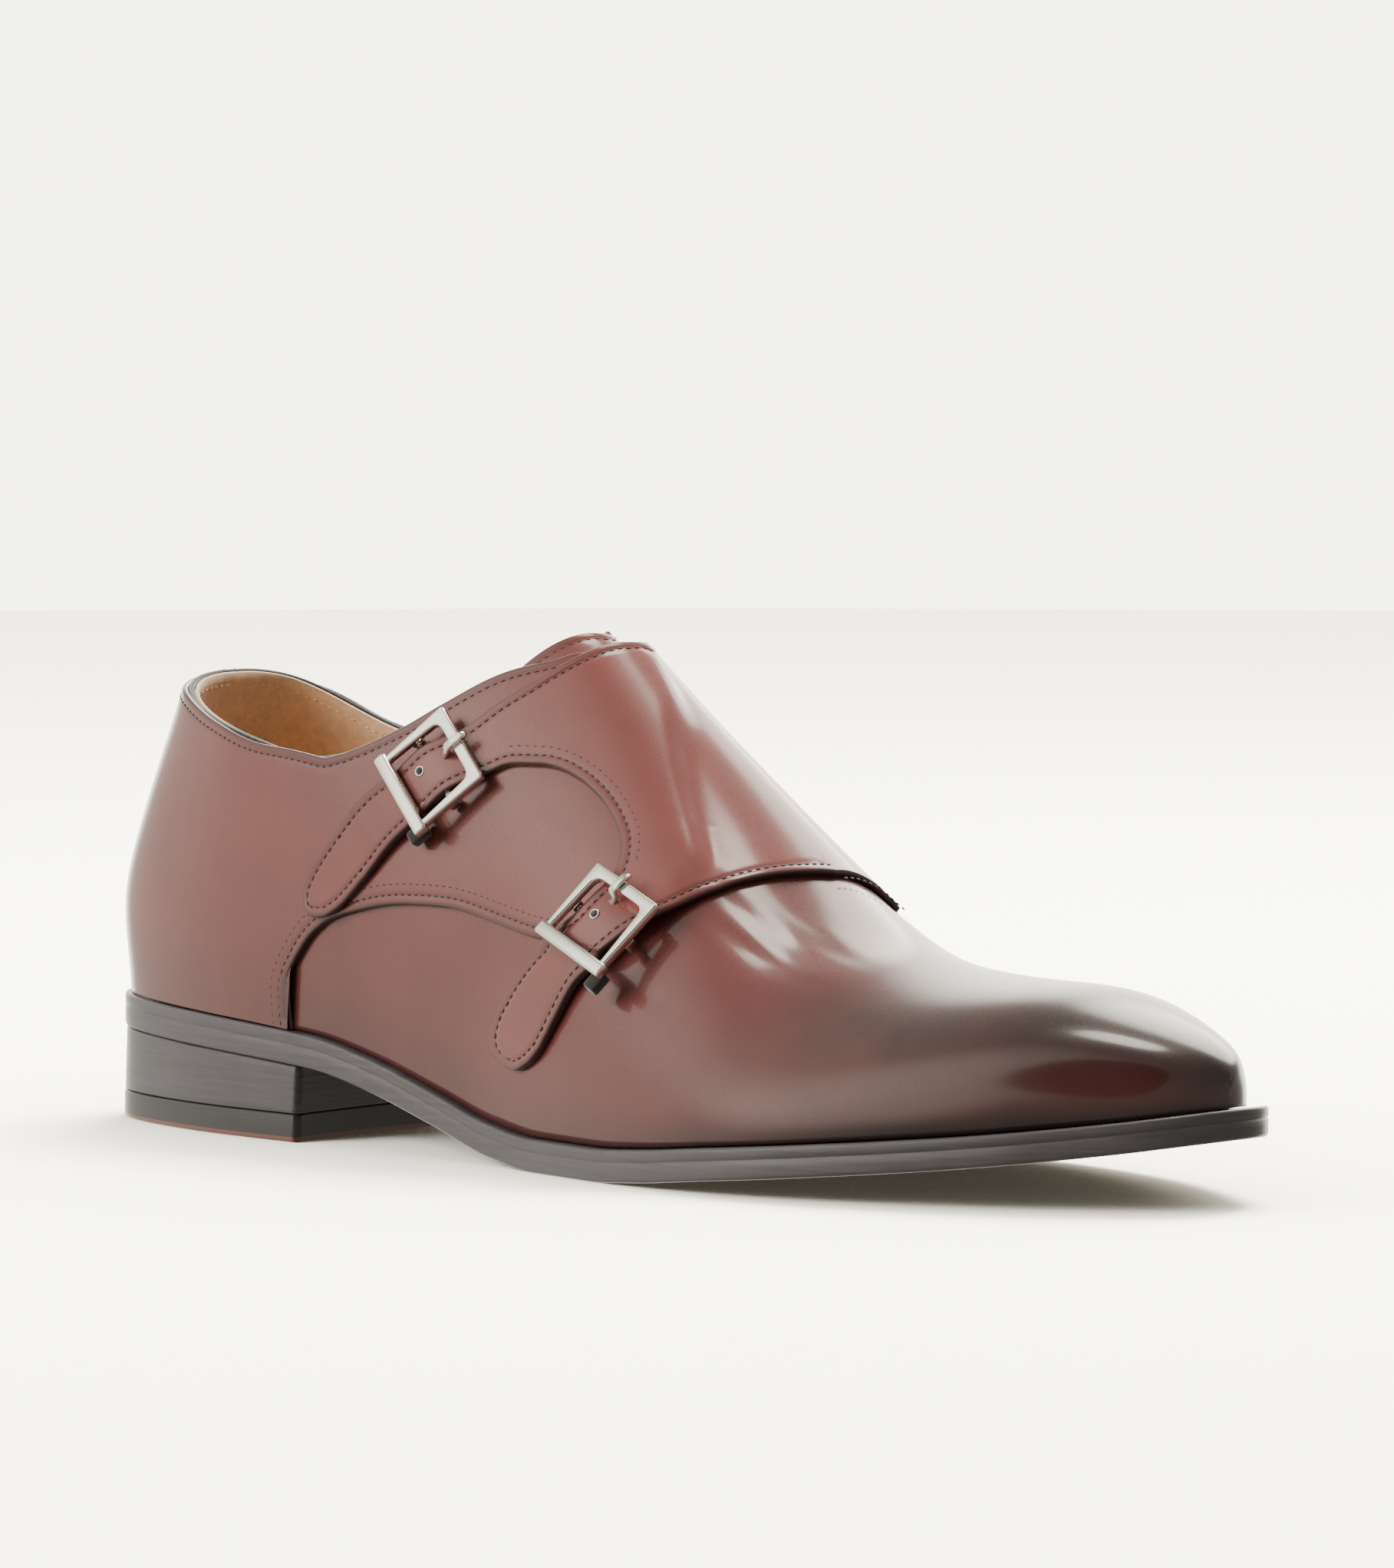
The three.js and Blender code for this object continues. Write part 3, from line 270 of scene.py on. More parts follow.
def last(station, around):
    """Points of the last at stations 0 to 1, with around running from -1 over 0 to 1."""
    station, around = np.broadcast_arrays(np.asarray(station, float), np.asarray(around, float))
    past = (station < 0) | (station > 1)
    around = np.where(past, -around, around)
    station = np.where(station > 1, 2 - station, np.abs(station))
    outer = around < 0
    side = np.where(outer, -1.0, 1.0)
    v = 1 - np.abs(around)
    x = LEDGE_HEEL + (LENGTH - LEDGE_HEEL - LEDGE_TOE) * plan_at(station)
    inset, ridge, top, lean_o, grip_o, crown_o, lean_i, grip_i, crown_i = [s(station) for s in section]
    half = np.where(outer, plan_outer(station), plan_inner(station)) * BALL_WIDTH * inset
    foot = sole_top(x) + FIT
    ridge = ridge * BALL_WIDTH
    top = top * INSTEP_HEIGHT
    lean = np.radians(np.where(outer, lean_o, lean_i))
    grip = np.where(outer, grip_o, grip_i) * (top - foot)
    crown = np.where(outer, crown_o, crown_i)
    y0 = side * half
    y1 = y0 + side * grip * np.sin(lean)
    y2 = ridge + crown * (y0 - ridge)
    z1 = foot + grip * np.cos(lean)
    w = 1 - v
    y = w ** 3 * y0 + 3 * v * w * w * y1 + 3 * v * v * w * y2 + v ** 3 * ridge
    z = w ** 3 * foot + 3 * v * w * w * z1 + 3 * v * v * w * top + v ** 3 * top
    fade = np.maximum(1 - x / (HEEL_BACK_REACH * LENGTH), 0) ** 1.5
    return np.stack([x + fade * heel_back(z), y, z], -1)


def outward(station, around):
    """Directions straight out of the last; at the very tip of the toe that is straight ahead."""
    step = 0.002
    station, around = np.broadcast_arrays(np.asarray(station, float), np.asarray(around, float))
    along = last(station + step, around) - last(station - step, around)
    high = np.where(around < 0, around + step, np.minimum(around + step, 1))
    up = last(station, high) - last(station, around - step)
    normal = np.cross(along, up)
    normal = np.where(normal.any(axis=-1, keepdims=True), normal, (1.0, 0.0, 0.0))
    return normal / np.linalg.norm(normal, axis=-1, keepdims=True)


def skin(station, around, height):
    """Points at heights over the last; the sole line keeps its level."""
    point = last(station, around) + outward(station, around) * np.asarray(height)[..., None]
    low = np.abs(around) > 0.9999
    point[..., 2] = np.where(low, sole_top(point[..., 0]) + FIT, point[..., 2])
    return point


SHIFT = np.array([
    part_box("outsole")[0].x / MM,
    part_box("outsole")[0].y / MM + np.max(plan_outer(np.linspace(0, 1, 41))) * BALL_WIDTH,
    0.0,
])


def to_frame(points):
    """From millimetres on the last to metres in the packed frame."""
    return (np.asarray(points) + SHIFT) * MM


def axes_at(x, y, z, place):
    """Matrix with these axes and this place."""
    matrix = Matrix((x, y, z)).transposed().to_4x4()
    matrix.translation = Vector(place)
    return matrix


# ---- ribs and straps ----

def ribs(low, high, first=0, end=None):
    """Places between two edges, by a share t along them and a share u from low to high."""
    order = np.arange(len(low))
    end = len(low) - 1 if end is None else end
    curves = [smooth(order, edge[:, k]) for edge in (low, high) for k in (0, 1)]

    def place(t, u):
        k = first + t * (end - first)
        station = lerp(curves[0](k), curves[2](k), u)
        return np.maximum(station, BACK_SEAM * SEAM_GAP), lerp(curves[1](k), curves[3](k), u)
    return place


def rib_edges(rows):
    low = np.stack([station_of(rows[:, 0]), rows[:, 1]], -1)
    high = np.stack([station_of(rows[:, 2]), rows[:, 3]], -1)
    return low, high


under = smooth(UNDERLAP[:, 0], UNDERLAP[:, 1])
hump = smooth(HUMP[:, 0] * FRAME_LENGTH, HUMP[:, 1] * STRAP_RISE)
top_outer = spline(TOPLINE[:, 0], TOPLINE[:, 1])
top_inner = spline(TOPLINE[:, 0], TOPLINE[:, 2])
THROAT = station_of(TOPLINE[-1, 0])


def underlap(station, around):
    at = plan_at(station)
    edge = under(around)
    return np.where(around > 0, 0.0, 1 - smoothstep(at, edge, edge + UNDERLAP_FADE))


def make_strap(name, buckle):
    station, around = station_of(buckle["middle"][0]), buckle["middle"][1]
    centre = last(station, around)
    up = outward(station, around)
    along = last(station_of(buckle["head"][0]), buckle["head"][1]) - centre
    along = along - up * along.dot(up)
    along /= np.linalg.norm(along)
    across = np.cross(up, along)
    return {**buckle, "name": name, "centre": centre, "up": up, "along": along, "across": across}


straps = [make_strap(name, buckle) for name, buckle in BUCKLES.items()]


def place_by(strap, along, across):
    """Place on the last of a point in a buckle's own plane."""
    place = np.array([station_of(strap["middle"][0]), strap["middle"][1]], float)

    def miss(p):
        away = last(p[0], p[1]) - strap["centre"]
        return np.array([along - away.dot(strap["along"]), across - away.dot(strap["across"])])
    step = 0.001
    for _ in range(8):
        e = miss(place)
        turn = np.stack([(e - miss(place + (step, 0))) / step, (e - miss(place + (0, step))) / step], -1)
        place = place + np.linalg.solve(turn, e)
    return place


def flap_edges():
    """Edges of the flap with both straps, from the upper tip to the lower tip."""
    low, high = [], []
    upper, lower = straps
    for rib in upper["ribs"][::-1]:
        low.append(place_by(upper, *(rib[2:] * STRAP_WIDTH)))
        high.append(place_by(upper, *(rib[:2] * STRAP_WIDTH)))
    for in_at, inner, out_at, out in FLAP:
        low.append((station_of(in_at), inner))
        high.append((station_of(out_at), out))
    for rib in lower["ribs"]:
        low.append(place_by(lower, *(rib[:2] * STRAP_WIDTH)))
        high.append(place_by(lower, *(rib[2:] * STRAP_WIDTH)))
    return np.array(low), np.array(high)


def flap_lift(station, around):
    """Height of the underside of the flap and straps over the last."""
    point = last(station, around)
    rise = LAYER_FIT + (CAD_LEATHER + LAYER_FIT) * underlap(station, around)
    for strap in straps:
        away = point - strap["centre"]
        along = away @ strap["along"]
        off = np.abs(away @ strap["across"]) / STRAP_WIDTH
        ahead = 1 - smoothstep(off, *FADE_AHEAD)
        behind = 1 - smoothstep(off, *FADE_BEHIND)
        rise = rise + hump(along) * np.where(along > 0, ahead, behind) * (around <= 0)
    return rise


def buckle_place(strap):
    """Matrix of a buckle's frame, and the height of its seat over the last."""
    pitch = math.radians(strap["pitch"])
    along = Vector(strap["along"])
    up = Vector(strap["up"])
    across = Vector(strap["across"])
    turn = Matrix.Rotation(pitch, 3, across)
    along, up = turn @ along, turn @ up
    base = 2 * LAYER_FIT + CAD_LEATHER
    dip = FRAME_LENGTH / 2 * math.sin(pitch)
    seat = base + CAD_LEATHER + float(hump(FRAME_LENGTH / 2 - FRAME_BAR)) + FIT + dip
    place = Vector(strap["centre"]) + Vector(strap["up"]) * seat
    return axes_at(along, across, up, place), seat


# ---- sheets ----

# Steps of a grid by its cut edges, in millimetres, and the length of line that they need at least,
# as a multiple of the last of them
EDGE_STEPS = (0.0, 0.1, 0.3, 0.6, 1.0, 1.5, 1.75, 2.0, 2.25, 2.5, 3.2)
EDGE_ROOM = 3.2
# How far the shares of an eased line draw together at its ends
EASE = 0.7
# Place and width of the trough that the stitches lie in, millimetres from the edge
TROUGH = (2.0, 0.45)
# Distance between the points by which a sheet's edge is found, and within which points are merged
EDGE_SAMPLE = 0.2
MERGE = 0.004
# Height of a quarter's flesh side over what it lies on
SKIN_GAP = 0.06


def pairs(shares):
    """Pairs of share and millimetres, for a grid without steps by its edges."""
    return np.stack([shares, np.zeros(len(shares))], -1)


def plain(count):
    return pairs(np.arange(count + 1) / count)


def eased(count):
    """Shares from 0 to 1 that lie closer together at both ends."""
    t = np.linspace(0, 1, count)
    return t - EASE * np.sin(2 * np.pi * t) / (2 * np.pi)


def edge_steps(count):
    """Pairs of share and millimetres, with fine steps by both ends."""
    middle = [(k / count, 0.0) for k in range(1, count)]
    return np.array([(0.0, s) for s in EDGE_STEPS] + middle + [(1.0, -s) for s in EDGE_STEPS[::-1]])


def steps_of(points):
    """Lengths of the steps of a line."""
    return np.linalg.norm(np.diff(points, axis=0), axis=1)


def shares_on(steps, run):
    """Shares of a line of a given length, for pairs of share and millimetres."""
    widest = np.abs(steps[:, 1]).max()
    if widest == 0:
        return steps[:, 0]
    squeeze = min(1, run / (EDGE_ROOM * widest))
    near = widest / run * squeeze
    middle = (steps[:, 1] == 0) & (steps[:, 0] > 0) & (steps[:, 0] < 1)
    return np.where(middle, near + steps[:, 0] * (1 - near * 2), steps[:, 0] + steps[:, 1] * squeeze / run)


def unit_grid(bm, nx, ny):
    """A flat grid, with the column and the row of each of its points."""
    made = bmesh.ops.create_grid(bm, x_segments=nx, y_segments=ny, size=1.0)["verts"]
    co = np.array([v.co[:2] for v in made])
    i, j = (np.rint((co[:, c] + 1) / 2 * n).astype(int) for c, n in enumerate((nx, ny)))
    return made, i, j


def add_grid(bm, columns, rows, place, along=None):
    """A grid of places on the last; columns and rows are pairs of share and millimetres.
    along: the line whose length the columns' millimetres go by, where two grids share it."""
    station, around = layers(bm)
    made, i, j = unit_grid(bm, len(columns) - 1, len(rows) - 1)
    fine = np.linspace(0, 1, 60)
    along = along or (lambda t: place(t, 0.5))
    t = shares_on(columns, steps_of(last(*along(fine))).sum())
    u = np.stack([shares_on(rows, max(steps_of(last(*place(share, fine))).sum(), 1e-6)) for share in t])
    s, a = place(t[i], u[i, j])
    a = np.where((s <= 0) | (s >= 1), -np.abs(a), a)
    for v, s_, a_, p in zip(made, s, a, last(s, a)):
        v[station] = s_
        v[around] = a_
        v.co = p


def new_verts(made):
    """The points among what an operator made."""
    return [g for g in made["geom"] if isinstance(g, bmesh.types.BMVert)]


def layers(bm):
    names = bm.verts.layers.float
    return [names.get(n) or names.new(n) for n in ("station", "around")]


def read(bm, verts):
    station, around = layers(bm)
    return np.array([(v[station], v[around]) for v in verts]).T


def edge_distances(bm, verts, free):
    """Distance of each point from the sheet's free edges."""
    ends = []
    for edge in bm.edges:
        if edge.is_boundary:
            s, a = read(bm, edge.verts)
            if free(s.mean(), a.mean()):
                p, q = (np.array(v.co) for v in edge.verts)
                count = max(int(np.linalg.norm(q - p) / EDGE_SAMPLE), 1)
                ends.extend(lerp(p, q, k / count) for k in range(count + 1))
    tree = KDTree(len(ends))
    for k, p in enumerate(ends):
        tree.insert(p, k)
    tree.balance()
    return np.array([tree.find(v.co)[2] for v in verts])


def edge_relief(d, radius, trough):
    """Rounded edge and the shallow trough that the stitches lie in."""
    near = np.clip(radius - d, 0, radius)
    drop = radius - np.sqrt(np.maximum(radius ** 2 - near ** 2, 0))
    return -drop - trough * np.exp(-((d - TROUGH[0]) / TROUGH[1]) ** 2)


def finish_sheet(bm, low, high, free, shade, radius=0.6, trough=0.16):
    """Merges a sheet's grids and gives it two skins, rounded edges and its darkness: burnish and painted
    edge shade.
    low, high: heights of the skins. free: whether an edge at a place is a cut edge."""
    bmesh.ops.remove_doubles(bm, verts=bm.verts[:], dist=MERGE)
    bm.normal_update()
    patina = bm.verts.layers.float.new("patina")
    verts = bm.verts[:]
    d = edge_distances(bm, verts, free)
    s, a = read(bm, verts)
    for v, value in zip(verts, shade(s, a, d)):
        v[patina] = value
    under_verts = new_verts(bmesh.ops.extrude_face_region(bm, geom=bm.faces[:]))
    s2, a2 = read(bm, under_verts)
    for v, p in zip(verts, to_frame(skin(s, a, high(s, a) + edge_relief(d, radius, trough)))):
        v.co = p
    for v, p in zip(under_verts, to_frame(skin(s2, a2, low(s2, a2)))):
        v.co = p
    bmesh.ops.recalc_face_normals(bm, faces=bm.faces[:])


def add_piece(name, bm, finish, replaces=()):
    mesh = bpy.data.meshes.new(name)
    for face in bm.faces:
        face.smooth = True
    bm.to_mesh(mesh)
    bm.free()
    mesh.materials.append(material_for(finish))
    piece = bpy.data.objects.new(name, mesh)
    bpy.context.scene.collection.objects.link(piece)
    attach(piece, "root")
    if replaces:
        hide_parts(*replaces)


def constant(value):
    return lambda s, a: np.full(np.shape(s), value)


# Soft creases. Each: place along and around, half length and half width (shares), turn, depth in mm
CREASES = (
    (0.655, -0.36, 0.085, 0.020, 0.55, 0.22), (0.630, -0.30, 0.070, 0.018, 0.70, 0.16),
    (0.680, -0.20, 0.060, 0.022, 0.90, 0.18), (0.640, 0.28, 0.070, 0.020, -0.60, 0.18),
    (0.595, -0.62, 0.050, 0.020, 0.45, 0.15), (0.470, -0.52, 0.045, 0.020, 0.30, 0.16),
    (0.300, -0.80, 0.060, 0.025, -0.40, 0.16), (0.310, 0.80, 0.060, 0.025, 0.40, 0.16),
    (0.430, 0.30, 0.050, 0.022, -0.80, 0.16),
)
# Cross creases of the straps: place in shares of the width, depth
STRAP_CREASES = ((-1.75, 0.45), (-2.0, 0.38), (-1.35, 0.30), (-2.3, 0.25))


def crease_relief(s, a):
    """Height of the soft creases and of the gentle waves of a lasted upper."""
    at = plan_at(s)
    total = 0.07 * np.sin(at * 47 + a * 3.0) * np.sin(a * 9 - at * 11) * smoothstep(1 - np.abs(a), 0.02, 0.2)
    for middle_at, middle, half, width, turn, depth in CREASES:
        x, y = (at - middle_at) / half, (a - middle) / half
        along = x * math.cos(turn) + y * math.sin(turn)
        off = (y * math.cos(turn) - x * math.sin(turn)) * half / width
        valley = np.exp(-off ** 2) - 0.5 * np.exp(-(off - 1.6) ** 2)
        total = total - depth * np.exp(-along ** 2 * 2) * valley
    return total


def strap_relief(s, a):
    """Small cross creases on the strap tails, by the buckles."""
    point = last(s, a)
    total = np.zeros(np.shape(s))
    for strap in straps:
        away = point - strap["centre"]
        along = away @ strap["along"] / STRAP_WIDTH
        near = 1 - smoothstep(np.abs(away @ strap["across"]) / STRAP_WIDTH, 1.0, 1.6)
        for middle, depth in STRAP_CREASES:
            total = total - 0.35 * depth * near * np.exp(-((along - middle) / 0.05) ** 2) * (a < 0)
    return total


# ---- materials ----

class Nodes:
    """A node tree, with short ways to add its nodes and join them."""

    def __init__(self, owner):
        owner.use_nodes = True
        self.nodes, self.links = owner.node_tree.nodes, owner.node_tree.links

    def give(self, node, inputs):
        """Sets a node's sockets to constants, or joins them to other nodes' outputs."""
        for name, value in inputs.items():
            if isinstance(value, bpy.types.NodeSocket):
                self.links.new(value, node.inputs[name])
            else:
                node.inputs[name].default_value = value

    def add(self, kind, inputs, out=0, **options):
        """Adds a node with its options and inputs, and returns one of its outputs."""
        node = self.nodes.new(f"ShaderNode{kind}")
        for name, value in options.items():
            setattr(node, name, value)
        self.give(node, inputs)
        return node.outputs[out]

    def maths(self, kind, first, second, clamp=False):
        return self.add("Math", {0: first, 1: second}, operation=kind, use_clamp=clamp)

    def scaled(self, value, factor, more):
        """A value times a factor, plus more."""
        return self.maths("ADD", self.maths("MULTIPLY", value, factor), more)

    def swing(self, value, size):
        """A noise's swing about its middle."""
        return self.maths("MULTIPLY", self.maths("SUBTRACT", value, 0.5), size)


class Finish(Nodes):
    """The finish of a leather, metal or thread: a material and its shader."""

    def __init__(self, name):
        self.material = bpy.data.materials.new(name)
        super().__init__(self.material)
        self.shader = self.nodes["Principled BSDF"]
        self.place = self.add("TexCoord", {}, "Object")

    def noise(self, scale, detail, rough, vector=None):
        inputs = {"Scale": scale, "Detail": detail, "Roughness": rough, "Vector": vector or self.place}
        return self.add("TexNoise", inputs, "Fac")

    def ramp(self, factor, *stops):
        """Colours by a factor. stops: pairs of position and colour."""
        node = self.nodes.new("ShaderNodeValToRGB")
        elements = node.color_ramp.elements
        while len(elements) < len(stops):
            elements.new(0.5)
        for element, (position, colour) in zip(elements, stops):
            element.position = position
            element.color = (*colour, 1.0)
        self.links.new(factor, node.inputs["Fac"])
        return node.outputs["Color"]

    def bumps(self, *parts):
        """A chain of bumps. parts: a height, its distance in metres and its strength."""
        inputs = {}
        for height, distance, strength in parts:
            inputs.update({"Height": height, "Distance": distance, "Strength": strength})
            inputs["Normal"] = self.add("Bump", inputs, "Normal")
        return inputs["Normal"]

    def finished(self, colour, rough, normal, more):
        """Gives the shader its inputs and returns the material."""
        self.give(self.shader, {"Base Color": colour, "Roughness": rough, "Normal": normal, **more})
        return self.material


def calf(name, light, deep, black):
    """Burnished calf: patches of colour, darker where the patina attribute says: burnish at the toe, painted
    shade along the edges and in the stitch troughs.
    """
    made = Finish(name)
    cloud = made.noise(26.0, 3.0, 0.55)
    fine = made.noise(240.0, 4.0, 0.6)
    patina = made.add("Attribute", {}, "Fac", attribute_name="patina")
    dark = made.maths("ADD", patina, made.swing(cloud, 0.42))
    dark = made.maths("ADD", dark, made.swing(fine, 0.06), True)
    colour = made.ramp(dark, (0.0, light), (0.45, deep), (1.0, black))
    pores = made.add("TexVoronoi", {"Vector": made.place, "Scale": 2200.0}, "Distance")
    ripple = made.noise(55.0, 0.0, 0.5)
    normal = made.bumps((ripple, 0.0002, 0.2), (pores, 0.00002, 0.2))
    return made.finished(colour, made.scaled(fine, 0.14, 0.21), normal,
                         {"Specular IOR Level": 0.36, "Coat Weight": 0.6, "Coat Roughness": 0.09})


def suede(name, light, dark, scale=420.0):
    """Leather with an open nap, for the lining and the painted edges."""
    made = Finish(name)
    nap = made.noise(scale, 4.0, 0.65)
    cloud = made.noise(30.0, 3.0, 0.5)
    mix = made.scaled(nap, 0.6, made.maths("MULTIPLY", cloud, 0.4))
    colour = made.ramp(mix, (0.3, dark), (0.7, light))
    return made.finished(colour, 0.85, made.bumps((nap, 0.0004, 0.5)), {"Sheen Weight": 0.35})


def dyed_edge(name, light, dark, strip=None):
    """Dyed and waxed leather edge, with its layers as faint level lines.
    strip: height and colour of a strip along the foot."""
    made = Finish(name)
    level = made.add("Mapping", {"Vector": made.place, "Scale": (30.0, 30.0, 1100.0)})
    lines = made.noise(1.0, 3.0, 0.6, level)
    cloud = made.noise(70.0, 4.0, 0.6)
    mix = made.scaled(lines, 0.55, made.maths("MULTIPLY", cloud, 0.45))
    colour = made.ramp(mix, (0.25, dark), (0.75, light))
    if strip:
        height = made.add("SeparateXYZ", {"Vector": made.place}, "Z")
        low = made.maths("LESS_THAN", height, strip[0])
        colour = made.add("Mix", {"Factor": low, "A": colour, "B": (*strip[1], 1.0)}, "Result",
                          data_type="RGBA")
    normal = made.bumps((lines, 0.0002, 0.5), (cloud, 0.0002, 0.3))
    return made.finished(colour, made.scaled(cloud, 0.25, 0.26), normal,
                         {"Coat Weight": 0.25, "Coat Roughness": 0.25})


def nickel(name, light, dark):
    """Polished plating with slight wear."""
    made = Finish(name)
    wear = made.noise(300.0, 4.0, 0.6)
    colour = made.ramp(wear, (0.2, dark), (0.8, light))
    normal = made.bumps((wear, 0.00005, 0.2))
    return made.finished(colour, made.scaled(wear, 0.12, 0.07), normal, {"Metallic": 1.0})


def thread(name, light, dark):
    """Waxed sewing thread, darker in its twist."""
    made = Finish(name)
    twist = made.noise(1800.0, 2.0, 0.5)
    colour = made.ramp(twist, (0.3, dark), (0.7, light))
    return made.finished(colour, 0.6, made.bumps((twist, 0.0001, 0.4)), {"Sheen Weight": 0.2})


# ---- settings ----

def size_prop(name, description, default, low, high):
    return bpy.props.FloatProperty(name=name, description=description, default=default, min=low, max=high,
                                   unit="LENGTH", precision=5)


def colour_prop(name, description, default):
    return bpy.props.FloatVectorProperty(name=name, description=description, default=default,
                                         subtype="COLOR", min=0.0, max=1.0)


class LeatherSettings(bpy.types.PropertyGroup):
    """Thickness, edges and colours of the upper leathers."""

    thickness: size_prop("Thickness", "Thickness of the quarters and straps", 0.00125, 0.0006, 0.002)
    edge_radius: size_prop("Edge radius", "Rounding of the cut edges", 0.00055, 0.0001, 0.001)
    light: colour_prop("Light brown", "Calf where the dye is thin", (0.165, 0.046, 0.038))
    deep: colour_prop("Deep brown", "Calf over most of the upper", (0.088, 0.0225, 0.0205))
    # Darkest end of the calf's ramp: reached at the burnished toe, and partly by the painted shade along the
    # edges
    black: colour_prop("Burnish", "Calf where it is burnished darkest", (0.008, 0.0042, 0.0042))
    lining: colour_prop("Lining", "Lining leather", (0.46, 0.27, 0.145))


class StitchSettings(bpy.types.PropertyGroup):
    """Stitches of the closing and edge rows."""

    pitch: size_prop("Pitch", "Distance from stitch to stitch", 0.0019, 0.001, 0.004)
    length: size_prop("Length", "Length of one stitch", 0.00135, 0.0005, 0.003)
    width: size_prop("Width", "Thickness of the thread", 0.00048, 0.0002, 0.001)
    margin: size_prop("Margin", "Distance of a row from the edge", 0.002, 0.001, 0.004)
    colour: colour_prop("Thread", "Colour of the thread", (0.045, 0.018, 0.014))


class BottomSettings(bpy.types.PropertyGroup):
    """Sole and heel finishes."""

    edge: colour_prop("Edge", "Dyed edge of the sole and heel", (0.058, 0.050, 0.055))
    rubber: colour_prop("Top piece", "Rubber of the top piece", (0.018, 0.016, 0.016))


class MetalSettings(bpy.types.PropertyGroup):
    """Buckle metal."""

    colour: colour_prop("Nickel", "Colour of the plated buckles", (0.83, 0.80, 0.76))
    bevel: size_prop("Bevel", "Bevel of the frame's edges", 0.00045, 0.0001, 0.001)


class StageSettings(bpy.types.PropertyGroup):
    """Floor, backdrop and lights."""

    tone: colour_prop("Tone", "Floor and backdrop", (0.97, 0.935, 0.81))
    glow: bpy.props.FloatProperty(
        name="Floor glow", description="Light that the floor gives by itself", default=2.65, min=0.0)
    wall_glow: bpy.props.FloatProperty(
        name="Backdrop glow", description="Brightness of the backdrop", default=6.6, min=0.0)
    key: bpy.props.FloatProperty(
        name="Key light", description="Power of the overhead light in watts", default=116.0, min=0.0)


def settings(name):
    return getattr(bpy.context.scene, f"monk_{name}")


def dye(group, name, share=1.0):
    """A colour of the settings, dimmed by a share."""
    return tuple(c * share for c in getattr(settings(group), name))


# Height and colour of the strip along the top piece's foot
STRIP = (0.0011, (0.10, 0.03, 0.02))
FINISHES = {
    "calf": lambda: calf("burnished_calf", *(dye("leather", name) for name in ("light", "deep", "black"))),
    "lining": lambda: suede("lining_leather", dye("leather", "lining"), dye("leather", "lining", 0.62)),
    "sole_edge": lambda: dyed_edge("sole_edge", dye("bottom", "edge"), dye("bottom", "edge", 0.45)),
    "heel_edge": lambda: dyed_edge("heel_edge", dye("bottom", "edge", 0.9), dye("bottom", "edge", 0.4)),
    "top_piece": lambda: dyed_edge("top_piece_rubber", dye("bottom", "rubber"),
                                   dye("bottom", "rubber", 0.5), STRIP),
    "nickel": lambda: nickel("plated_nickel", dye("metal", "colour"), dye("metal", "colour", 0.9)),
    "thread": lambda: thread("dark_thread", dye("stitches", "colour"), dye("stitches", "colour", 0.4)),
    "pale_thread": lambda: thread("pale_thread", (0.62, 0.42, 0.24), (0.35, 0.20, 0.10)),
    # Black for the painted collar edge and the buckle tabs, and for the painted shade in the strap holes
    "black_edge_and_hole_shade": lambda: suede("black_tab", (0.012, 0.010, 0.010), (0.004, 0.003, 0.003), 900.0),
}
_materials = {}


def material_for(finish):
    """Makes a material the first time a piece asks for it."""
    if finish not in _materials:
        _materials[finish] = FINISHES[finish]()
    return _materials[finish]


# ---- burnish and painted shade ----

def calf_shade(edge=0.35, base=0.36):
    """Darkness of the calf, by place and by distance from an edge: burnish deeper towards the toe, darker by
    the sole line and at the back of the heel, and painted shade along the edges and in the stitch trough."""
    def shade(s, a, d):
        at = plan_at(s)
        sole = smoothstep(np.abs(a), 0.86, 1.0) * 0.22
        toe = smoothstep(at, 0.55, 0.84) * 0.50 * (1 - 0.45 * smoothstep(np.abs(a), 0.45, 0.8))
        heel = (1 - smoothstep(at, 0.0, 0.05)) * 0.25
        # Painted shade along the cut edges and in the stitch trough
        rim = edge * np.exp(-(d / 0.8) ** 2) + 0.16 * np.exp(-((d - TROUGH[0]) / 0.6) ** 2)
        return np.clip(base + sole + toe + heel + rim, 0, 1)
    return shade


# ---- pieces ----

class PieceOperator:
    """What the operators of the shoe share: each makes its pieces."""

    bl_options = {"REGISTER", "UNDO"}

    def execute(self, context):
        self.make()
        return {"FINISHED"}


def collar_place(side):
    """Places of the wall behind the throat: u from the sole line to the top edge."""
    def place(t, u):
        station = THROAT * t
        edge = np.abs((top_outer if side < 0 else top_inner)(plan_at(station)))
        end = np.where(t >= 1, 0.0, np.minimum(edge, 1))
        return station, side * lerp(1.0, end, u)
    return place


def front_place(side):
    def place(t, u):
        return lerp(THROAT, 1.0, t), side * (1 - u) * np.ones_like(t)
    return place


def wall_sheet(bm, back, front, rows):
    """Both sides of the wall, with counts of columns behind the throat and in front of it."""
    for side in (-1, 1):
        add_grid(bm, pairs(eased(back)), rows, collar_place(side))
        add_grid(bm, plain(front), rows, front_place(side))


def free_top(s, a):
    return abs(a) < 0.985


class MONK_OT_vamp(PieceOperator, bpy.types.Operator):
    """Vamp and wall: the calf under the quarters, and the whole front of the shoe"""

    bl_idname = "monk.vamp"
    bl_label = "Vamp"

    def make(self):
        bm = bmesh.new()
        wall_sheet(bm, 91, 150, pairs(1 - (1 - np.linspace(0, 1, 61)) ** 1.3))
        finish_sheet(bm, constant(-0.95), lambda s, a: np.minimum(crease_relief(s, a), 0.05), free_top,
                     calf_shade(edge=0.5, base=0.46), radius=0.4, trough=0.0)
        add_piece("vamp", bm, "calf", replaces=("upper",))


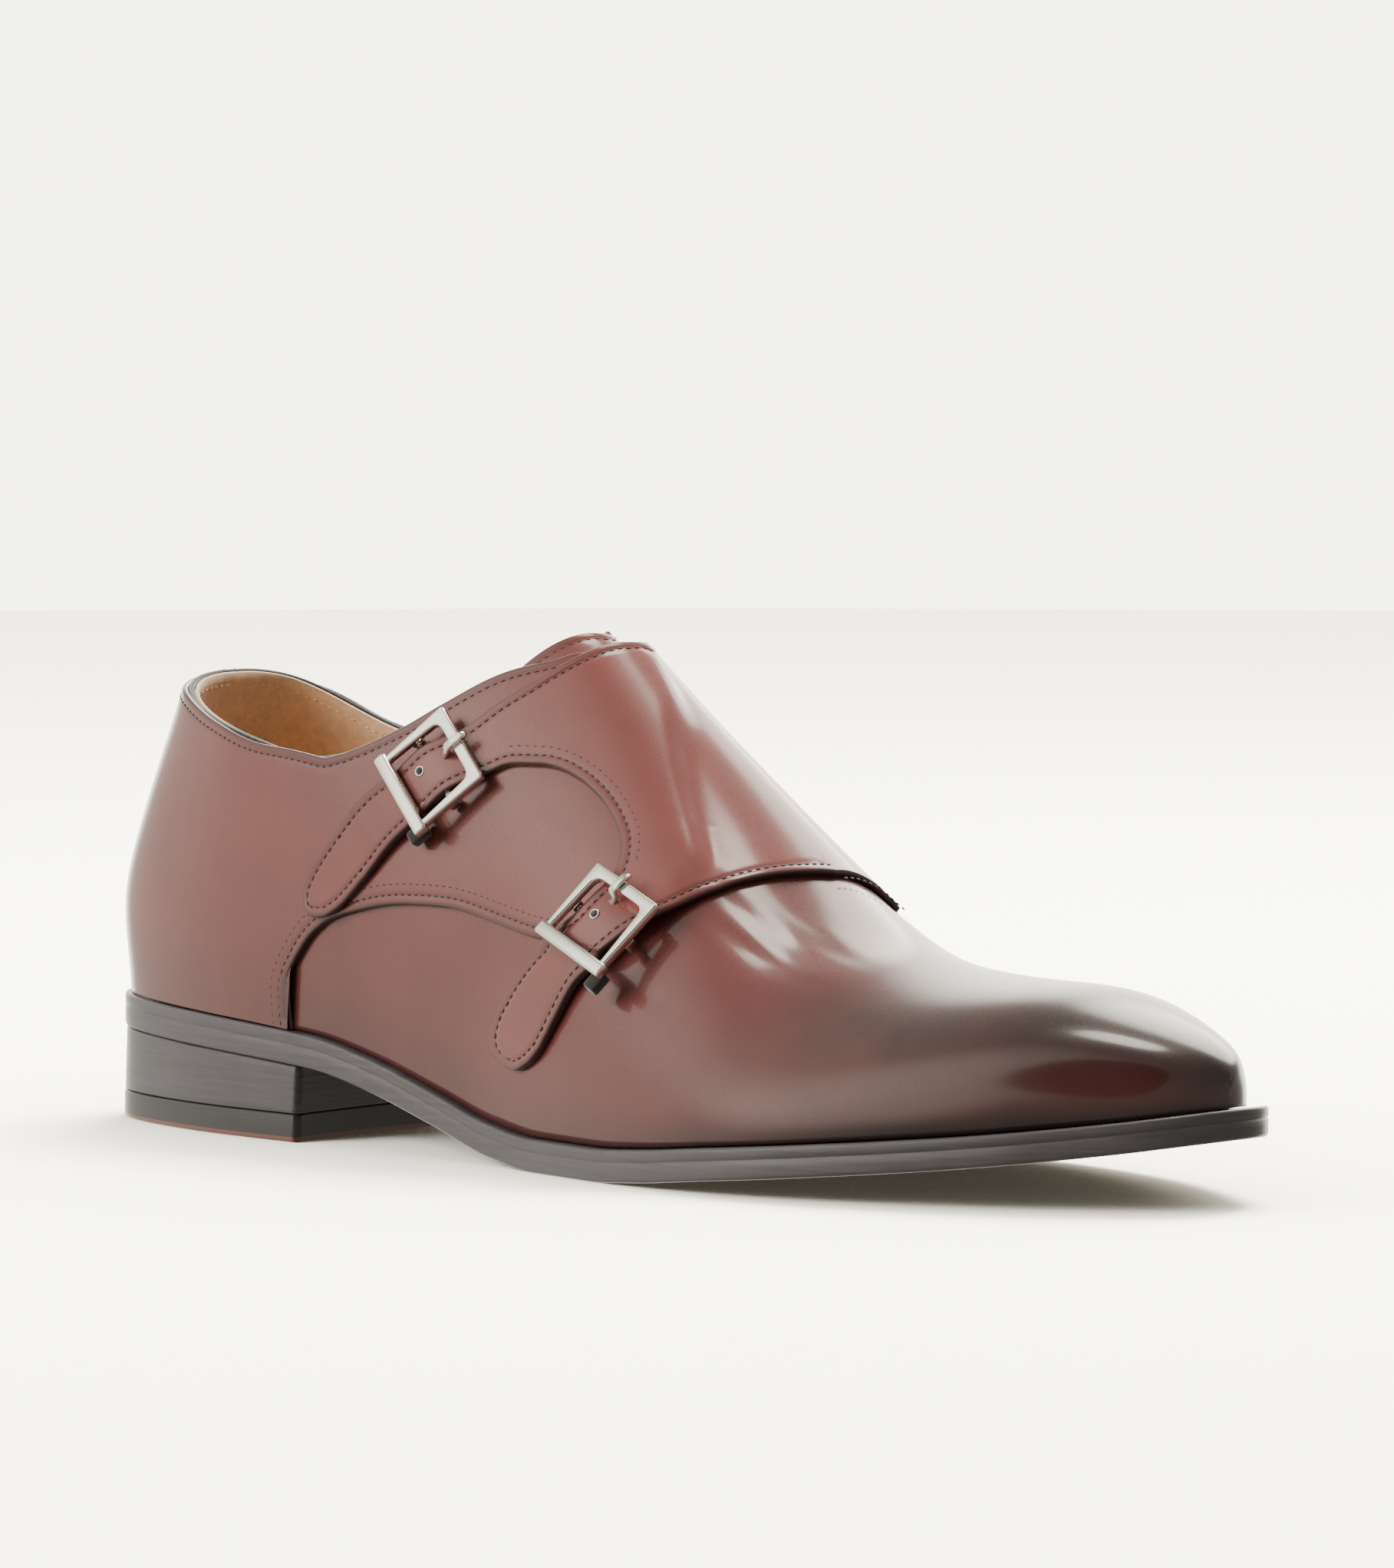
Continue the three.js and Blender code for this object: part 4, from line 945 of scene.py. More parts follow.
class MONK_OT_lining(PieceOperator, bpy.types.Operator):
    """Lining: the pale leather inside the wall"""

    bl_idname = "monk.lining"
    bl_label = "Lining"

    def make(self):
        bm = bmesh.new()
        wall_sheet(bm, 71, 60, plain(30))
        finish_sheet(bm, constant(-2.0), constant(-1.0), free_top, calf_shade(), radius=0.3, trough=0.0)
        add_piece("lining", bm, "lining")


def ring_edges(bm, ring):
    """The edges between the points of a ring."""
    inside = set(ring)
    return [e for e in bm.edges if e.verts[0] in inside and e.verts[1] in inside]


def sweep(bm, ring, stops):
    """Extrudes a ring of points from matrix to matrix; returns its first and its last ring."""
    rest = [v.co.copy() for v in ring]
    first = ring
    for k, stop in enumerate(stops):
        if k:
            fresh = new_verts(bmesh.ops.extrude_edge_only(bm, edges=ring_edges(bm, ring)))
            ring = [min(fresh, key=lambda v, old=old: (v.co - old.co).length) for old in ring]
        for v, p in zip(ring, rest):
            v.co = stop @ p
    return first, ring


def loop_stops(points, ups):
    """Matrices along a closed loop of points, with z ahead."""
    for k, point in enumerate(points):
        ahead = Vector(points[(k + 1) % len(points)] - points[k - 1]).normalized()
        out = Vector(ups[k]).cross(ahead).normalized()
        yield axes_at(out, ahead.cross(out), ahead, point)


class MONK_OT_collar_edge(PieceOperator, bpy.types.Operator):
    """Collar edge: the painted black rim round the opening"""

    bl_idname = "monk.collar_edge"
    bl_label = "Collar edge"

    def make(self):
        bead_radius, below_top, drop = 0.62 * MM, 0.25 * MM, -0.35
        t = np.minimum(eased(120), 0.9999)
        sides = [collar_place(side)(t, np.ones(120)) for side in (-1, 1)]
        station, around = (np.concatenate([outer, inner[1:-1][::-1]]) for outer, inner in zip(*sides))
        height = np.full(len(station), drop)
        points = to_frame(skin(station, around, height))
        rise = points - to_frame(skin(station, around * 1.02, height))
        rise /= np.linalg.norm(rise, axis=1, keepdims=True)
        bm = bmesh.new()
        ring = bmesh.ops.create_circle(bm, cap_ends=False, segments=8, radius=bead_radius)["verts"]
        first, final = sweep(bm, ring, loop_stops(points - rise * below_top, rise))
        bmesh.ops.bridge_loops(bm, edges=ring_edges(bm, first) + ring_edges(bm, final))
        bmesh.ops.recalc_face_normals(bm, faces=bm.faces[:])
        add_piece("collar_rim", bm, "black_edge_and_hole_shade")


def not_sole_or_seam(s, a):
    return abs(a) < 0.985 and s > BACK_SEAM


def finish_quarter(name, bm, low, high, shade, replaces):
    """Gives a quarter its skins and rounded edges."""
    finish_sheet(bm, low, high, not_sole_or_seam, shade, radius=settings("leather").edge_radius / MM)
    add_piece(name, bm, "calf", replaces=replaces)


class MONK_OT_outer_quarter(PieceOperator, bpy.types.Operator):
    """Outer quarter: from the back seam to its front edge under the flap"""

    bl_idname = "monk.outer_quarter"
    bl_label = "Outer quarter"

    def make(self):
        bm = bmesh.new()
        thickness = settings("leather").thickness / MM
        add_grid(bm, edge_steps(140), edge_steps(40), ribs(*rib_edges(OUTER_QUARTER)))
        finish_quarter("outer_quarter_leather", bm, constant(SKIN_GAP),
                       lambda s, a: LAYER_FIT + thickness + crease_relief(s, a),
                       calf_shade(edge=0.45), ("outer_quarter",))


class MONK_OT_inner_quarter(PieceOperator, bpy.types.Operator):
    """Inner quarter with the flap and both straps, cut as one piece"""

    bl_idname = "monk.inner_quarter"
    bl_label = "Inner quarter, flap and straps"

    def make(self):
        bm = bmesh.new()
        thickness = settings("leather").thickness / MM
        edges, flap = rib_edges(INNER_QUARTER), flap_edges()
        count = len(INNER_QUARTER) - 1
        body = ribs(*edges, 0, count - RIDGE_RIBS)
        front = ribs(*edges, count - RIDGE_RIBS, count)
        over = ribs(*flap, FLAP_TURN, FLAP_STOP)
        rows, quarter_rows, ridge = edge_steps(24), edge_steps(36), edge_steps(30)

        def ridge_line(t):
            return over(t, 1.0)

        def front_from_ridge(t, u):
            s, a = front(t, 1 - u)
            apart = ridge_line(t)[0] - front(t, 1.0)[0]
            return s + apart * (1 - u) ** 2, a
        add_grid(bm, edge_steps(80), quarter_rows, lambda t, u: body(t, 1 - u))
        add_grid(bm, ridge, quarter_rows, front_from_ridge, ridge_line)
        add_grid(bm, ridge, rows, over, ridge_line)
        add_grid(bm, edge_steps(70), rows, ribs(*flap, 0, FLAP_TURN))
        add_grid(bm, edge_steps(70), rows, ribs(*flap, FLAP_STOP, len(flap[0]) - 1))
        finish_quarter("inner_quarter_leather", bm, lambda s, a: flap_lift(s, a) - LAYER_FIT + SKIN_GAP,
                       lambda s, a: flap_lift(s, a) + thickness + crease_relief(s, a) + strap_relief(s, a),
                       calf_shade(edge=0.45, base=0.30), ("inner_quarter",))


def tongue_place(t, u):
    order = np.arange(len(TONGUE_RIBS))
    k = np.asarray(t) * (len(order) - 1)
    edge_at, edge, mid_at = (smooth(order, TONGUE_RIBS[:, c])(k) for c in range(3))
    across = 2 * np.asarray(u) - 1
    at = lerp(mid_at, edge_at, np.abs(across) ** 1.3)
    return station_of(at), across * edge


class MONK_OT_tongue(PieceOperator, bpy.types.Operator):
    """Tongue: calf outside and lining inside"""

    bl_idname = "monk.tongue"
    bl_label = "Tongue"

    def make(self):
        for name, low, high, trough, finish, slot, replaces in (
            ("tongue_leather", -3.9, -2.6, 0.12, "calf", "calf", ("tongue",)),
            ("tongue_lining", -5.0, -3.95, 0.0, "lining", "lining_leather", ()),
        ):
            bm = bmesh.new()
            add_grid(bm, edge_steps(30), edge_steps(50), tongue_place)
            finish_sheet(bm, constant(low), constant(high), lambda s, a: True, calf_shade(edge=0.3),
                         radius=0.5, trough=trough)
            add_piece(name, bm, finish, replaces=replaces)


# ---- sole and heel ----

def outline(station, sign, inset):
    """Edge of the sole in plan, moved inwards by an inset."""
    width = plan_outer if sign < 0 else plan_inner

    def point(k):
        return np.stack([plan_at(k) * LENGTH, sign * width(k) * BALL_WIDTH], -1)
    step = 0.001
    ahead = point(np.minimum(station + step, 1)) - point(np.maximum(station - step, 0))
    ahead = ahead / np.linalg.norm(ahead, axis=-1, keepdims=True)
    ahead = np.where(station[..., None] <= 0, np.array([0.0, sign]), ahead)
    ahead = np.where(station[..., None] >= 1, np.array([0.0, -sign]), ahead)
    normal = np.stack([-ahead[..., 1], ahead[..., 0]], -1) * -sign
    return point(station) + normal * np.asarray(inset)[..., None]


def grid_positions(bm, nx, ny, position):
    """A grid whose points are set by position(column, row)."""
    made, i, j = unit_grid(bm, nx, ny)
    for v, p in zip(made, to_frame(position(i, j))):
        v.co = p


# Columns across a solid under the shoe, and how far a heel's front face curves in
ACROSS = 24
BREAST = 2.2


def bottom_solid(bm, profile, steps, end=1.0, breast=0.0):
    """A closed solid under the shoe, from the back to the station end.
    profile: rows of inset and a height function of x. breast: how far the front face curves in."""
    insets = np.array([inset for inset, height in profile])
    rows = len(profile) - 1

    def level(points, j):
        z = np.empty(len(points))
        for k, (_, height) in enumerate(profile):
            z[j == k] = height(points[j == k, 0])
        return np.concatenate([points, z[:, None]], -1)

    def side(sign):
        return lambda i, j: level(outline(end * i / steps, sign, insets[j]), j)

    def across(station, share, j):
        points = lerp(outline(station, -1, insets[j]), outline(station, 1, insets[j]), share[:, None])
        points[:, 0] -= breast * (station / end) ** 10 * (1 - (2 * share - 1) ** 2)
        return level(points, j)

    def cap(row):
        return lambda i, j: across(end * i / steps, j / ACROSS, np.full(len(i), row))
    grid_positions(bm, steps, rows, side(-1))
    grid_positions(bm, steps, rows, side(1))
    if end < 1:
        grid_positions(bm, ACROSS, rows, lambda i, j: across(np.full(len(i), end), i / ACROSS, j))
    grid_positions(bm, steps, ACROSS, cap(0))
    grid_positions(bm, steps, ACROSS, cap(rows))
    bmesh.ops.remove_doubles(bm, verts=bm.verts[:], dist=0.003 * MM)
    bmesh.ops.dissolve_degenerate(bm, edges=bm.edges[:], dist=0.001 * MM)
    bmesh.ops.recalc_face_normals(bm, faces=bm.faces[:])


# Edge of the sole: inset, share of the edge's height, millimetres more
SOLE_PROFILE = (
    (0.9, 0, 0.0), (0.45, 0, 0.12), (0.12, 0, 0.45), (0.0, 0, 0.95),
    (0.0, 0.35, 0.0), (0.02, 0.62, -0.28), (0.22, 0.62, -0.1),
    (0.22, 0.62, 0.1), (0.02, 0.62, 0.28), (0.0, 0.8, 0.0),
    (0.0, 1, -0.75), (0.1, 1, -0.38), (0.38, 1, -0.1), (0.8, 1, 0.0),
)
# Edge of the top piece: inset, height
TOP_PIECE_PROFILE = (
    (0.35, 0.0), (-0.05, 0.25), (-0.28, 0.7), (-0.22, 1.1), (-0.26, 1.35),
    (-0.2, TOP_PIECE - 0.4), (0.05, TOP_PIECE),
)
HEEL_LIFTS = 4
HEEL_GROOVE = 0.035


class MONK_OT_sole(PieceOperator, bpy.types.Operator):
    """Outsole with its waxed edge, rim and the line of the welt"""

    bl_idname = "monk.sole"
    bl_label = "Sole"

    def make(self):
        def rise(share, more):
            return lambda x: lerp(underside(x), sole_top(x), share) + more
        bm = bmesh.new()
        bottom_solid(bm, [(inset, rise(share, more)) for inset, share, more in SOLE_PROFILE], 220)
        add_piece("sole", bm, "sole_edge", replaces=("outsole",))


class MONK_OT_heel(PieceOperator, bpy.types.Operator):
    """Heel: its lifts, with the top piece under them"""

    bl_idname = "monk.heel"
    bl_label = "Heel"

    def make(self):
        end = float(station_of(HEEL_LENGTH / LENGTH))

        def rise(share, more):
            return lambda x: lerp(TOP_PIECE + FIT / 2, underside(x) - 0.05, share) + more

        def level(z):
            return lambda x: np.full(len(x), z)
        lifts = [(0.25, rise(0, 0.0)), (-0.05, rise(0, 0.25))]
        for k in range(1, HEEL_LIFTS):
            share = k / HEEL_LIFTS
            inset = lerp(-0.1, 0.35, share)
            lifts += [(inset, rise(share, -0.22)), (inset + HEEL_GROOVE, rise(share, 0.0)),
                      (inset, rise(share, 0.22))]
        lifts += [(0.35, rise(1, -0.3)), (0.6, rise(1, 0.0))]
        bm = bmesh.new()
        bottom_solid(bm, lifts, 110, end, BREAST)
        add_piece("heel_lifts", bm, "heel_edge", replaces=("heel_block",))
        bm = bmesh.new()
        bottom_solid(bm, [(inset, level(z)) for inset, z in TOP_PIECE_PROFILE], 110, end, BREAST)
        add_piece("top_piece", bm, "top_piece", replaces=("heel_top_piece",))


# Insole and sock: name, share of the length, underside and top over the wall's foot, margin, replaces
INSOLES = (
    ("insole_board", 0.985, 0.1, 2.7, 0.0, ("insole",)),
    ("heel_sock", 0.40, 2.3, 3.3, 1.2, ()),
)


class MONK_OT_insole(PieceOperator, bpy.types.Operator):
    """Insole and its heel sock"""

    bl_idname = "monk.insole"
    bl_label = "Insole"

    def make(self):
        columns, start, wall, hollow = 80, 0.006, 2.7, 0.8
        for name, span, low, high, margin, replaces in INSOLES:
            def position(i, j):
                station = start + span * i / columns
                share = j / ACROSS
                inward = np.full(len(i), -wall - margin)
                left, right = (skin(station, np.full(len(i), a), inward) for a in (-0.99, 0.99))
                points = lerp(left, right, share[:, None])
                fall = hollow * (1 - (2 * share - 1) ** 2)
                points[:, 2] = sole_top(points[:, 0]) + FIT + high - fall
                return points
            bm = bmesh.new()
            grid_positions(bm, columns, ACROSS, position)
            drop = new_verts(bmesh.ops.extrude_face_region(bm, geom=bm.faces[:]))
            bmesh.ops.translate(bm, verts=drop, vec=(0, 0, (low - high) * MM))
            bmesh.ops.remove_doubles(bm, verts=bm.verts[:], dist=0.003 * MM)
            bmesh.ops.recalc_face_normals(bm, faces=bm.faces[:])
            add_piece(name, bm, "lining", replaces=replaces)


# ---- stitching ----

# Depth of the thread in the leather, distance of a second row, share of the width in a stitch's height
SINK = 0.12
SECOND_ROW = 2.2
FLATNESS = 0.8


def along_line(run, goals, values):
    return np.stack([np.interp(goals, run, column) for column in values.T], -1)


def beside(s, a, margin, side):
    """A line of places moved across the last by a margin in millimetres; side is +1 to its left."""
    ahead = np.gradient(last(s, a), axis=0)
    ahead /= np.linalg.norm(ahead, axis=1, keepdims=True)
    step = 0.001
    ds = (last(s + step, a) - last(s - step, a)) / (2 * step)
    da = (last(s, a + step) - last(s, a - step)) / (2 * step)
    goal = np.cross(outward(s, a), ahead) * margin * side
    g11, g12, g22 = (ds * ds).sum(1), (ds * da).sum(1), (da * da).sum(1)
    b1, b2 = (goal * ds).sum(1), (goal * da).sum(1)
    size = g11 * g22 - g12 ** 2
    return s + (g22 * b1 - g12 * b2) / size, a + (g11 * b2 - g12 * b1) / size


def add_row(bm, places, margin, side, height):
    """A row of stitches beside a line of places, on a leather whose top has a height over the last."""
    sizes = settings("stitches")
    s, a = beside(*places, margin, side)
    points = skin(s, a, height(s, a) + crease_relief(s, a))
    run = np.concatenate([[0], np.cumsum(steps_of(points))])
    count = max(int(run[-1] / (sizes.pitch / MM)), 1)
    goals = (np.arange(count) + 0.5) * run[-1] / count
    middle = along_line(run, goals, points)
    ahead = along_line(run, goals + 0.3, points) - along_line(run, goals - 0.3, points)
    ahead = ahead / np.linalg.norm(ahead, axis=1, keepdims=True)
    up = along_line(run / run[-1], goals / run[-1], outward(s, a))
    thread_size = Matrix.Diagonal((sizes.length / 2, sizes.width / 2, sizes.width / 2 * FLATNESS, 1.0))
    for p, forward, normal in zip(to_frame(middle), ahead, up):
        x = Vector(forward)
        y = Vector(normal).cross(x).normalized()
        bmesh.ops.create_uvsphere(bm, u_segments=6, v_segments=4, radius=1.0,
                                  matrix=axes_at(x, y, x.cross(y), p) @ thread_size)


def line(place, t0, t1, u, count=400):
    return place(np.linspace(t0, t1, count), np.full(count, float(u)))


def cross_line(place, t, u0, u1, count):
    return place(np.full(count, float(t)), np.linspace(u0, u1, count))


class MONK_OT_stitching(PieceOperator, bpy.types.Operator):
    """Rows of stitches on every seam and edge"""

    bl_idname = "monk.stitching"
    bl_label = "Stitching"

    def make(self):
        margin = settings("stitches").margin / MM
        thickness = settings("leather").thickness / MM
        quarter_top = constant(LAYER_FIT + thickness - SINK)

        def flap_top(s, a):
            return flap_lift(s, a) + thickness - SINK
        count, turn = len(INNER_QUARTER) - 1, len(UPPER_STRAP)
        edges, flap = rib_edges(INNER_QUARTER), flap_edges()
        end = len(flap[0]) - 1
        outer, inner, whole = ribs(*rib_edges(OUTER_QUARTER)), ribs(*edges), ribs(*flap)
        outer_low = line(outer, 4 / 14, 12.6 / 14, 0)
        inner_low = line(inner, 4 / count, 1.0, 0)
        # Each row: the edge that it follows, its distance and side, and the top of its leather
        rows = {
            "quarter_stitches": (
                (line(outer, 0.0, 11 / 14, 1), margin, -1, quarter_top),
                (outer_low, margin, 1, quarter_top),
                (outer_low, margin + SECOND_ROW, 1, quarter_top),
                (line(inner, 0.0, (count - RIDGE_RIBS) / count, 1), margin, 1, flap_top),
                (inner_low, margin, -1, flap_top),
                (inner_low, margin + SECOND_ROW, -1, flap_top),
            ),
            "flap_stitches": (
                (line(whole, 0.0, 1.0, 0, 900), margin, 1, flap_top),
                (line(whole, turn / end, (turn + len(FLAP) - 1) / end, 0), margin + 1.9, 1, flap_top),
                (line(whole, 0.0, FLAP_TURN / end, 1, 600), margin, -1, flap_top),
                (line(whole, FLAP_STOP / end, 1.0, 1, 600), margin, -1, flap_top),
                (cross_line(ribs(*edges, count - RIDGE_RIBS, count), 1, 0, 1, 200), margin, 1, flap_top),
            ),
            "tongue_stitches": (
                (cross_line(tongue_place, 0, 0.02, 0.98, 300), margin, -1, constant(-2.62 - SINK)),
            ),
            "lining_stitches": tuple(
                (line(collar_place(side), 0.01, 0.96, 1), 2.6, side, constant(-2.05)) for side in (-1, 1)
            ),
        }
        for name, lines in rows.items():
            bm = bmesh.new()
            for row in lines:
                add_row(bm, *row)
            pale = name == "lining_stitches"
            add_piece(name, bm, "pale_thread" if pale else "thread")


# ---- buckles ----

QUARTER_TURN = math.radians(90)
SHARP = math.radians(50)
# Frame: how far the keeper's middle and the frame's rear lie in, taper, corner radii, opening
FRAME_REAR = 0.45
FRAME_TAPER = 0.35
FRAME_CORNERS = (0.7, 0.5, 0.5, 0.7)
OPENING_CORNERS = (2.0, 0.5, 0.5, 2.0)
# Keeper bar's ends: distance from the end, share of the size
KEEPER_ENDS = ((0.0, 0.86), (0.18, 0.96), (0.45, 1.0))
# Width, height and corner radius of each bar's section
KEEPER_SECTION = (KEEPER_WIDTH, 2.5, 0.75)
BAR_SECTION = (1.5, 1.5, 0.74)
LUG_SECTION = (2.6, 1.4, 0.4)
PRONG_SECTION = (1.9, 1.1, 0.4)


def ring_of(bm, points):
    """A closed ring of points and the edges between them."""
    verts = [bm.verts.new(p) for p in points]
    edges = [bm.edges.new((v, verts[(k + 1) % len(verts)])) for k, v in enumerate(verts)]
    return verts, edges


def rounded_corners(corners, radii, segments=4):
    """Points of a flat outline whose corners are rounded; corners run round in order."""
    points = []
    for k, radius in enumerate(radii):
        p, before, after = (Vector((*corners[m % len(corners)], 0)) for m in (k, k - 1, k + 1))
        b, c = (before - p).normalized(), (after - p).normalized()
        for m in range(segments + 1):
            w = m / segments
            points.append(p + b * radius * (1 - w) ** 2 + c * radius * w ** 2)
    return points


def add_bar(bm, section_size, stops, segments=3):
    """A bar with a rounded section that runs through the matrices of its stops, closed at both ends."""
    width, height, radius = section_size
    points = []
    for y, z, start in ((1, 1, 0), (-1, 1, 90), (-1, -1, 180), (1, -1, 270)):
        for m in range(segments + 1):
            angle = math.radians(start + 90 * m / segments)
            points.append((0, y * (width / 2 - radius) + radius * math.cos(angle),
                           z * (height / 2 - radius) + radius * math.sin(angle)))
    for ring in sweep(bm, ring_of(bm, points)[0], stops):
        bmesh.ops.contextual_create(bm, geom=ring_edges(bm, ring))


def stop_at(x, y, z, turn, axis, size=1.0):
    """Matrix of one stop of a bar: its place, its turn about an axis and its size."""
    return (Matrix.Translation((x, y, z)) @ Matrix.Rotation(turn, 4, axis)
            @ Matrix.Diagonal((1, size, size, 1)))


class MONK_OT_buckles(PieceOperator, bpy.types.Operator):
    """Both buckles: frame, keeper bar, centre bar and prong"""

    bl_idname = "monk.buckles"
    bl_label = "Buckles"

    def make(self):
        for strap in straps:
            matrix, seat = buckle_place(strap)
            name = strap["name"]
            self.seated(f"{name}_buckle_frame", self.frame(seat), matrix, (f"buckle_{name}",))
            self.seated(f"{name}_prong", self.prong(strap, seat), matrix, (f"prong_{name}",))

    def seated(self, name, bm, matrix, replaces):
        """Puts a piece that was made flat into its buckle's place."""
        bmesh.ops.recalc_face_normals(bm, faces=bm.faces[:])
        for v in bm.verts:
            v.co = to_frame(matrix @ v.co)
        add_piece(name, bm, "nickel", replaces=replaces)

    def frame(self, seat):
        half_l, half_w = FRAME_LENGTH / 2, FRAME_WIDTH / 2
        rear = -half_l + KEEPER_WIDTH * FRAME_REAR
        taper = half_w - FRAME_TAPER
        front, rear_in, side, side_rear = half_l - 2.6, rear + 1.4, half_w - 2.5, half_w - 1.75
        outside = ((half_l, half_w), (rear, taper), (rear, -taper), (half_l, -half_w))
        opening = ((front, side), (rear_in, side_rear), (rear_in, -side_rear), (front, -side))
        bm = bmesh.new()
        edges = ring_of(bm, rounded_corners(outside, FRAME_CORNERS))[1]
        edges += ring_of(bm, rounded_corners(opening, OPENING_CORNERS))[1]
        bmesh.ops.bridge_loops(bm, edges=edges)
        bmesh.ops.translate(bm, verts=bm.verts[:], vec=(0, 0, FRAME_DEPTH))
        made = bmesh.ops.extrude_face_region(bm, geom=bm.faces[:])
        bmesh.ops.translate(bm, verts=new_verts(made), vec=(0, 0, -FRAME_DEPTH))
        bmesh.ops.recalc_face_normals(bm, faces=bm.faces[:])
        sharp = [e for e in bm.edges if len(e.link_faces) == 2 and e.calc_face_angle() > SHARP]
        bmesh.ops.bevel(bm, geom=sharp, offset=settings("metal").bevel / MM, segments=3, profile=0.5,
                        affect="EDGES", material=-1)
        reach = half_w + 0.45
        ends = [(-reach + away, size) for away, size in KEEPER_ENDS]
        ends += [(reach - away, size) for away, size in reversed(KEEPER_ENDS)]
        add_bar(bm, KEEPER_SECTION, [stop_at(-half_l + 1.35, y, 1.3, QUARTER_TURN, "Z", size)
                                     for y, size in ends])
        drop = seat + FIT / 2 + 0.75 - (2 * LAYER_FIT + CAD_LEATHER) - STRAP_RISE
        add_bar(bm, BAR_SECTION, [stop_at(0, y, -drop, QUARTER_TURN, "Z")
                                  for y in (-half_w + 1.3, half_w - 1.3)])
        for sign in (-1, 1):
            add_bar(bm, LUG_SECTION, [
                Matrix.Translation((0, sign * (half_w - 1.35), z)) @ Matrix.Rotation(-QUARTER_TURN, 4, "Y")
                @ Matrix.Rotation(QUARTER_TURN, 4, "X") for z in (-drop - 0.6, 1.0)])
        return bm

    def prong(self, strap, seat):
        half_l = FRAME_LENGTH / 2
        x0, y0 = (share * STRAP_WIDTH for share in strap["prong"])
        low = 2 * LAYER_FIT + 2 * CAD_LEATHER + float(hump(x0)) - seat
        level = FRAME_DEPTH + 0.55
        # Each point of the prong: along the frame, height, share of the section
        path = ((x0 - 0.6, low - 0.6, 0.85), (x0 - 0.1, low + 0.35, 0.95), (x0 + 0.9, low + 1.1, 1.0),
                (half_l - 3.2, level - 0.1, 1.0), (half_l - 1.4, level + 0.12, 1.0),
                (half_l + 0.5, level, 0.95), (half_l + 1.2, level - 0.35, 0.8),
                (half_l + 1.5, level - 0.8, 0.55))
        stops = []
        for k, (x, z, size) in enumerate(path):
            before, after = path[max(k - 1, 0)], path[min(k + 1, len(path) - 1)]
            slope = math.atan2(after[1] - before[1], after[0] - before[0])
            share = (x - x0) / (half_l - x0)
            stops.append(stop_at(x, y0 * (1 - share * 0.3), z, -slope, "Y", size))
        bm = bmesh.new()
        add_bar(bm, PRONG_SECTION, stops)
        return bm


# Eyelet: radius of its wire, radius of its middle, height. Hole: a black disc of painted shade, with two
# radii, depth, height.
EYELET = (0.22, 0.98, 0.02)
HOLE = (0.86, 0.8, 0.3, -0.08)
TAB_SIZE = (4.6, 3.4, 2.6)
TAB_PLACE = (-FRAME_LENGTH / 2 - 0.6, -FRAME_WIDTH / 2 + 1.6, -1.6)


class MONK_OT_fittings(PieceOperator, bpy.types.Operator):
    """Small parts: the punched holes of the straps, each with a black disc of painted shade, and the tabs
    that anchor the buckles
    """

    bl_idname = "monk.fittings"
    bl_label = "Holes and tabs"

    def make(self):
        thickness = settings("leather").thickness / MM
        rings, holes, tabs = bmesh.new(), bmesh.new(), bmesh.new()
        for strap in straps:
            s, a = place_by(strap, *(share * STRAP_WIDTH for share in strap["holes"]))
            turn = Vector(outward(s, a)).to_track_quat("Z", "Y").to_matrix().to_4x4()
            turn.translation = Vector(to_frame(skin(s, a, flap_lift(s, a) + thickness)))
            turn = turn @ Matrix.Scale(MM, 4)
            self.eyelet(rings, turn)
            wide, narrow, depth, height = HOLE
            disc = bmesh.ops.create_cone(holes, cap_ends=True, segments=24, radius1=wide, radius2=narrow,
                                         depth=depth)["verts"]
            bmesh.ops.transform(holes, matrix=turn @ Matrix.Translation((0, 0, height)), verts=disc)
            block = bmesh.ops.create_cube(tabs, size=1.0)["verts"]
            bmesh.ops.scale(tabs, verts=block, vec=TAB_SIZE)
            bmesh.ops.translate(tabs, verts=block, vec=TAB_PLACE)
            bmesh.ops.transform(tabs, matrix=buckle_place(strap)[0], verts=block)
        bmesh.ops.bevel(tabs, geom=tabs.edges[:], offset=0.6, segments=3, profile=0.5, affect="EDGES",
                        material=-1)
        for v in tabs.verts:
            v.co = to_frame(v.co)
        bmesh.ops.recalc_face_normals(rings, faces=rings.faces[:])
        add_piece("hole_rings", rings, "nickel")
        add_piece("hole_shadows", holes, "black_edge_and_hole_shade")
        add_piece("buckle_tabs", tabs, "black_edge_and_hole_shade")

    def eyelet(self, bm, matrix):
        before = len(bm.verts)
        wire, radius, height = EYELET
        start = bmesh.ops.create_circle(bm, cap_ends=False, segments=8, radius=wire)["verts"]
        bmesh.ops.rotate(bm, verts=start, cent=(0, 0, 0), matrix=Matrix.Rotation(QUARTER_TURN, 3, "X"))
        bmesh.ops.translate(bm, verts=start, vec=(radius, 0, height))
        bmesh.ops.spin(bm, geom=start + ring_edges(bm, start), cent=(0, 0, 0), axis=(0, 0, 1),
                       angle=2 * math.pi, steps=24, use_merge=True)
        bmesh.ops.transform(bm, matrix=matrix, verts=bm.verts[:][before:])


# ---- stage ----

AZIMUTH = 42.83
ELEVATION = 4.72
DISTANCE = 1.914
TARGET = (150.0, 0.0, 50.0)
# How far right of the target and above it the camera aims, metres
AIM_RIGHT = 0.0064
AIM_UP = 0.0285
LENS = 234.5


def camera_axes():
    azimuth, elevation = math.radians(AZIMUTH), math.radians(ELEVATION)
    back = Vector((math.sin(azimuth) * math.cos(elevation), -math.cos(azimuth) * math.cos(elevation),
                   math.sin(elevation)))
    right = Vector((math.cos(azimuth), math.sin(azimuth), 0))
    return back, right, back.cross(right)


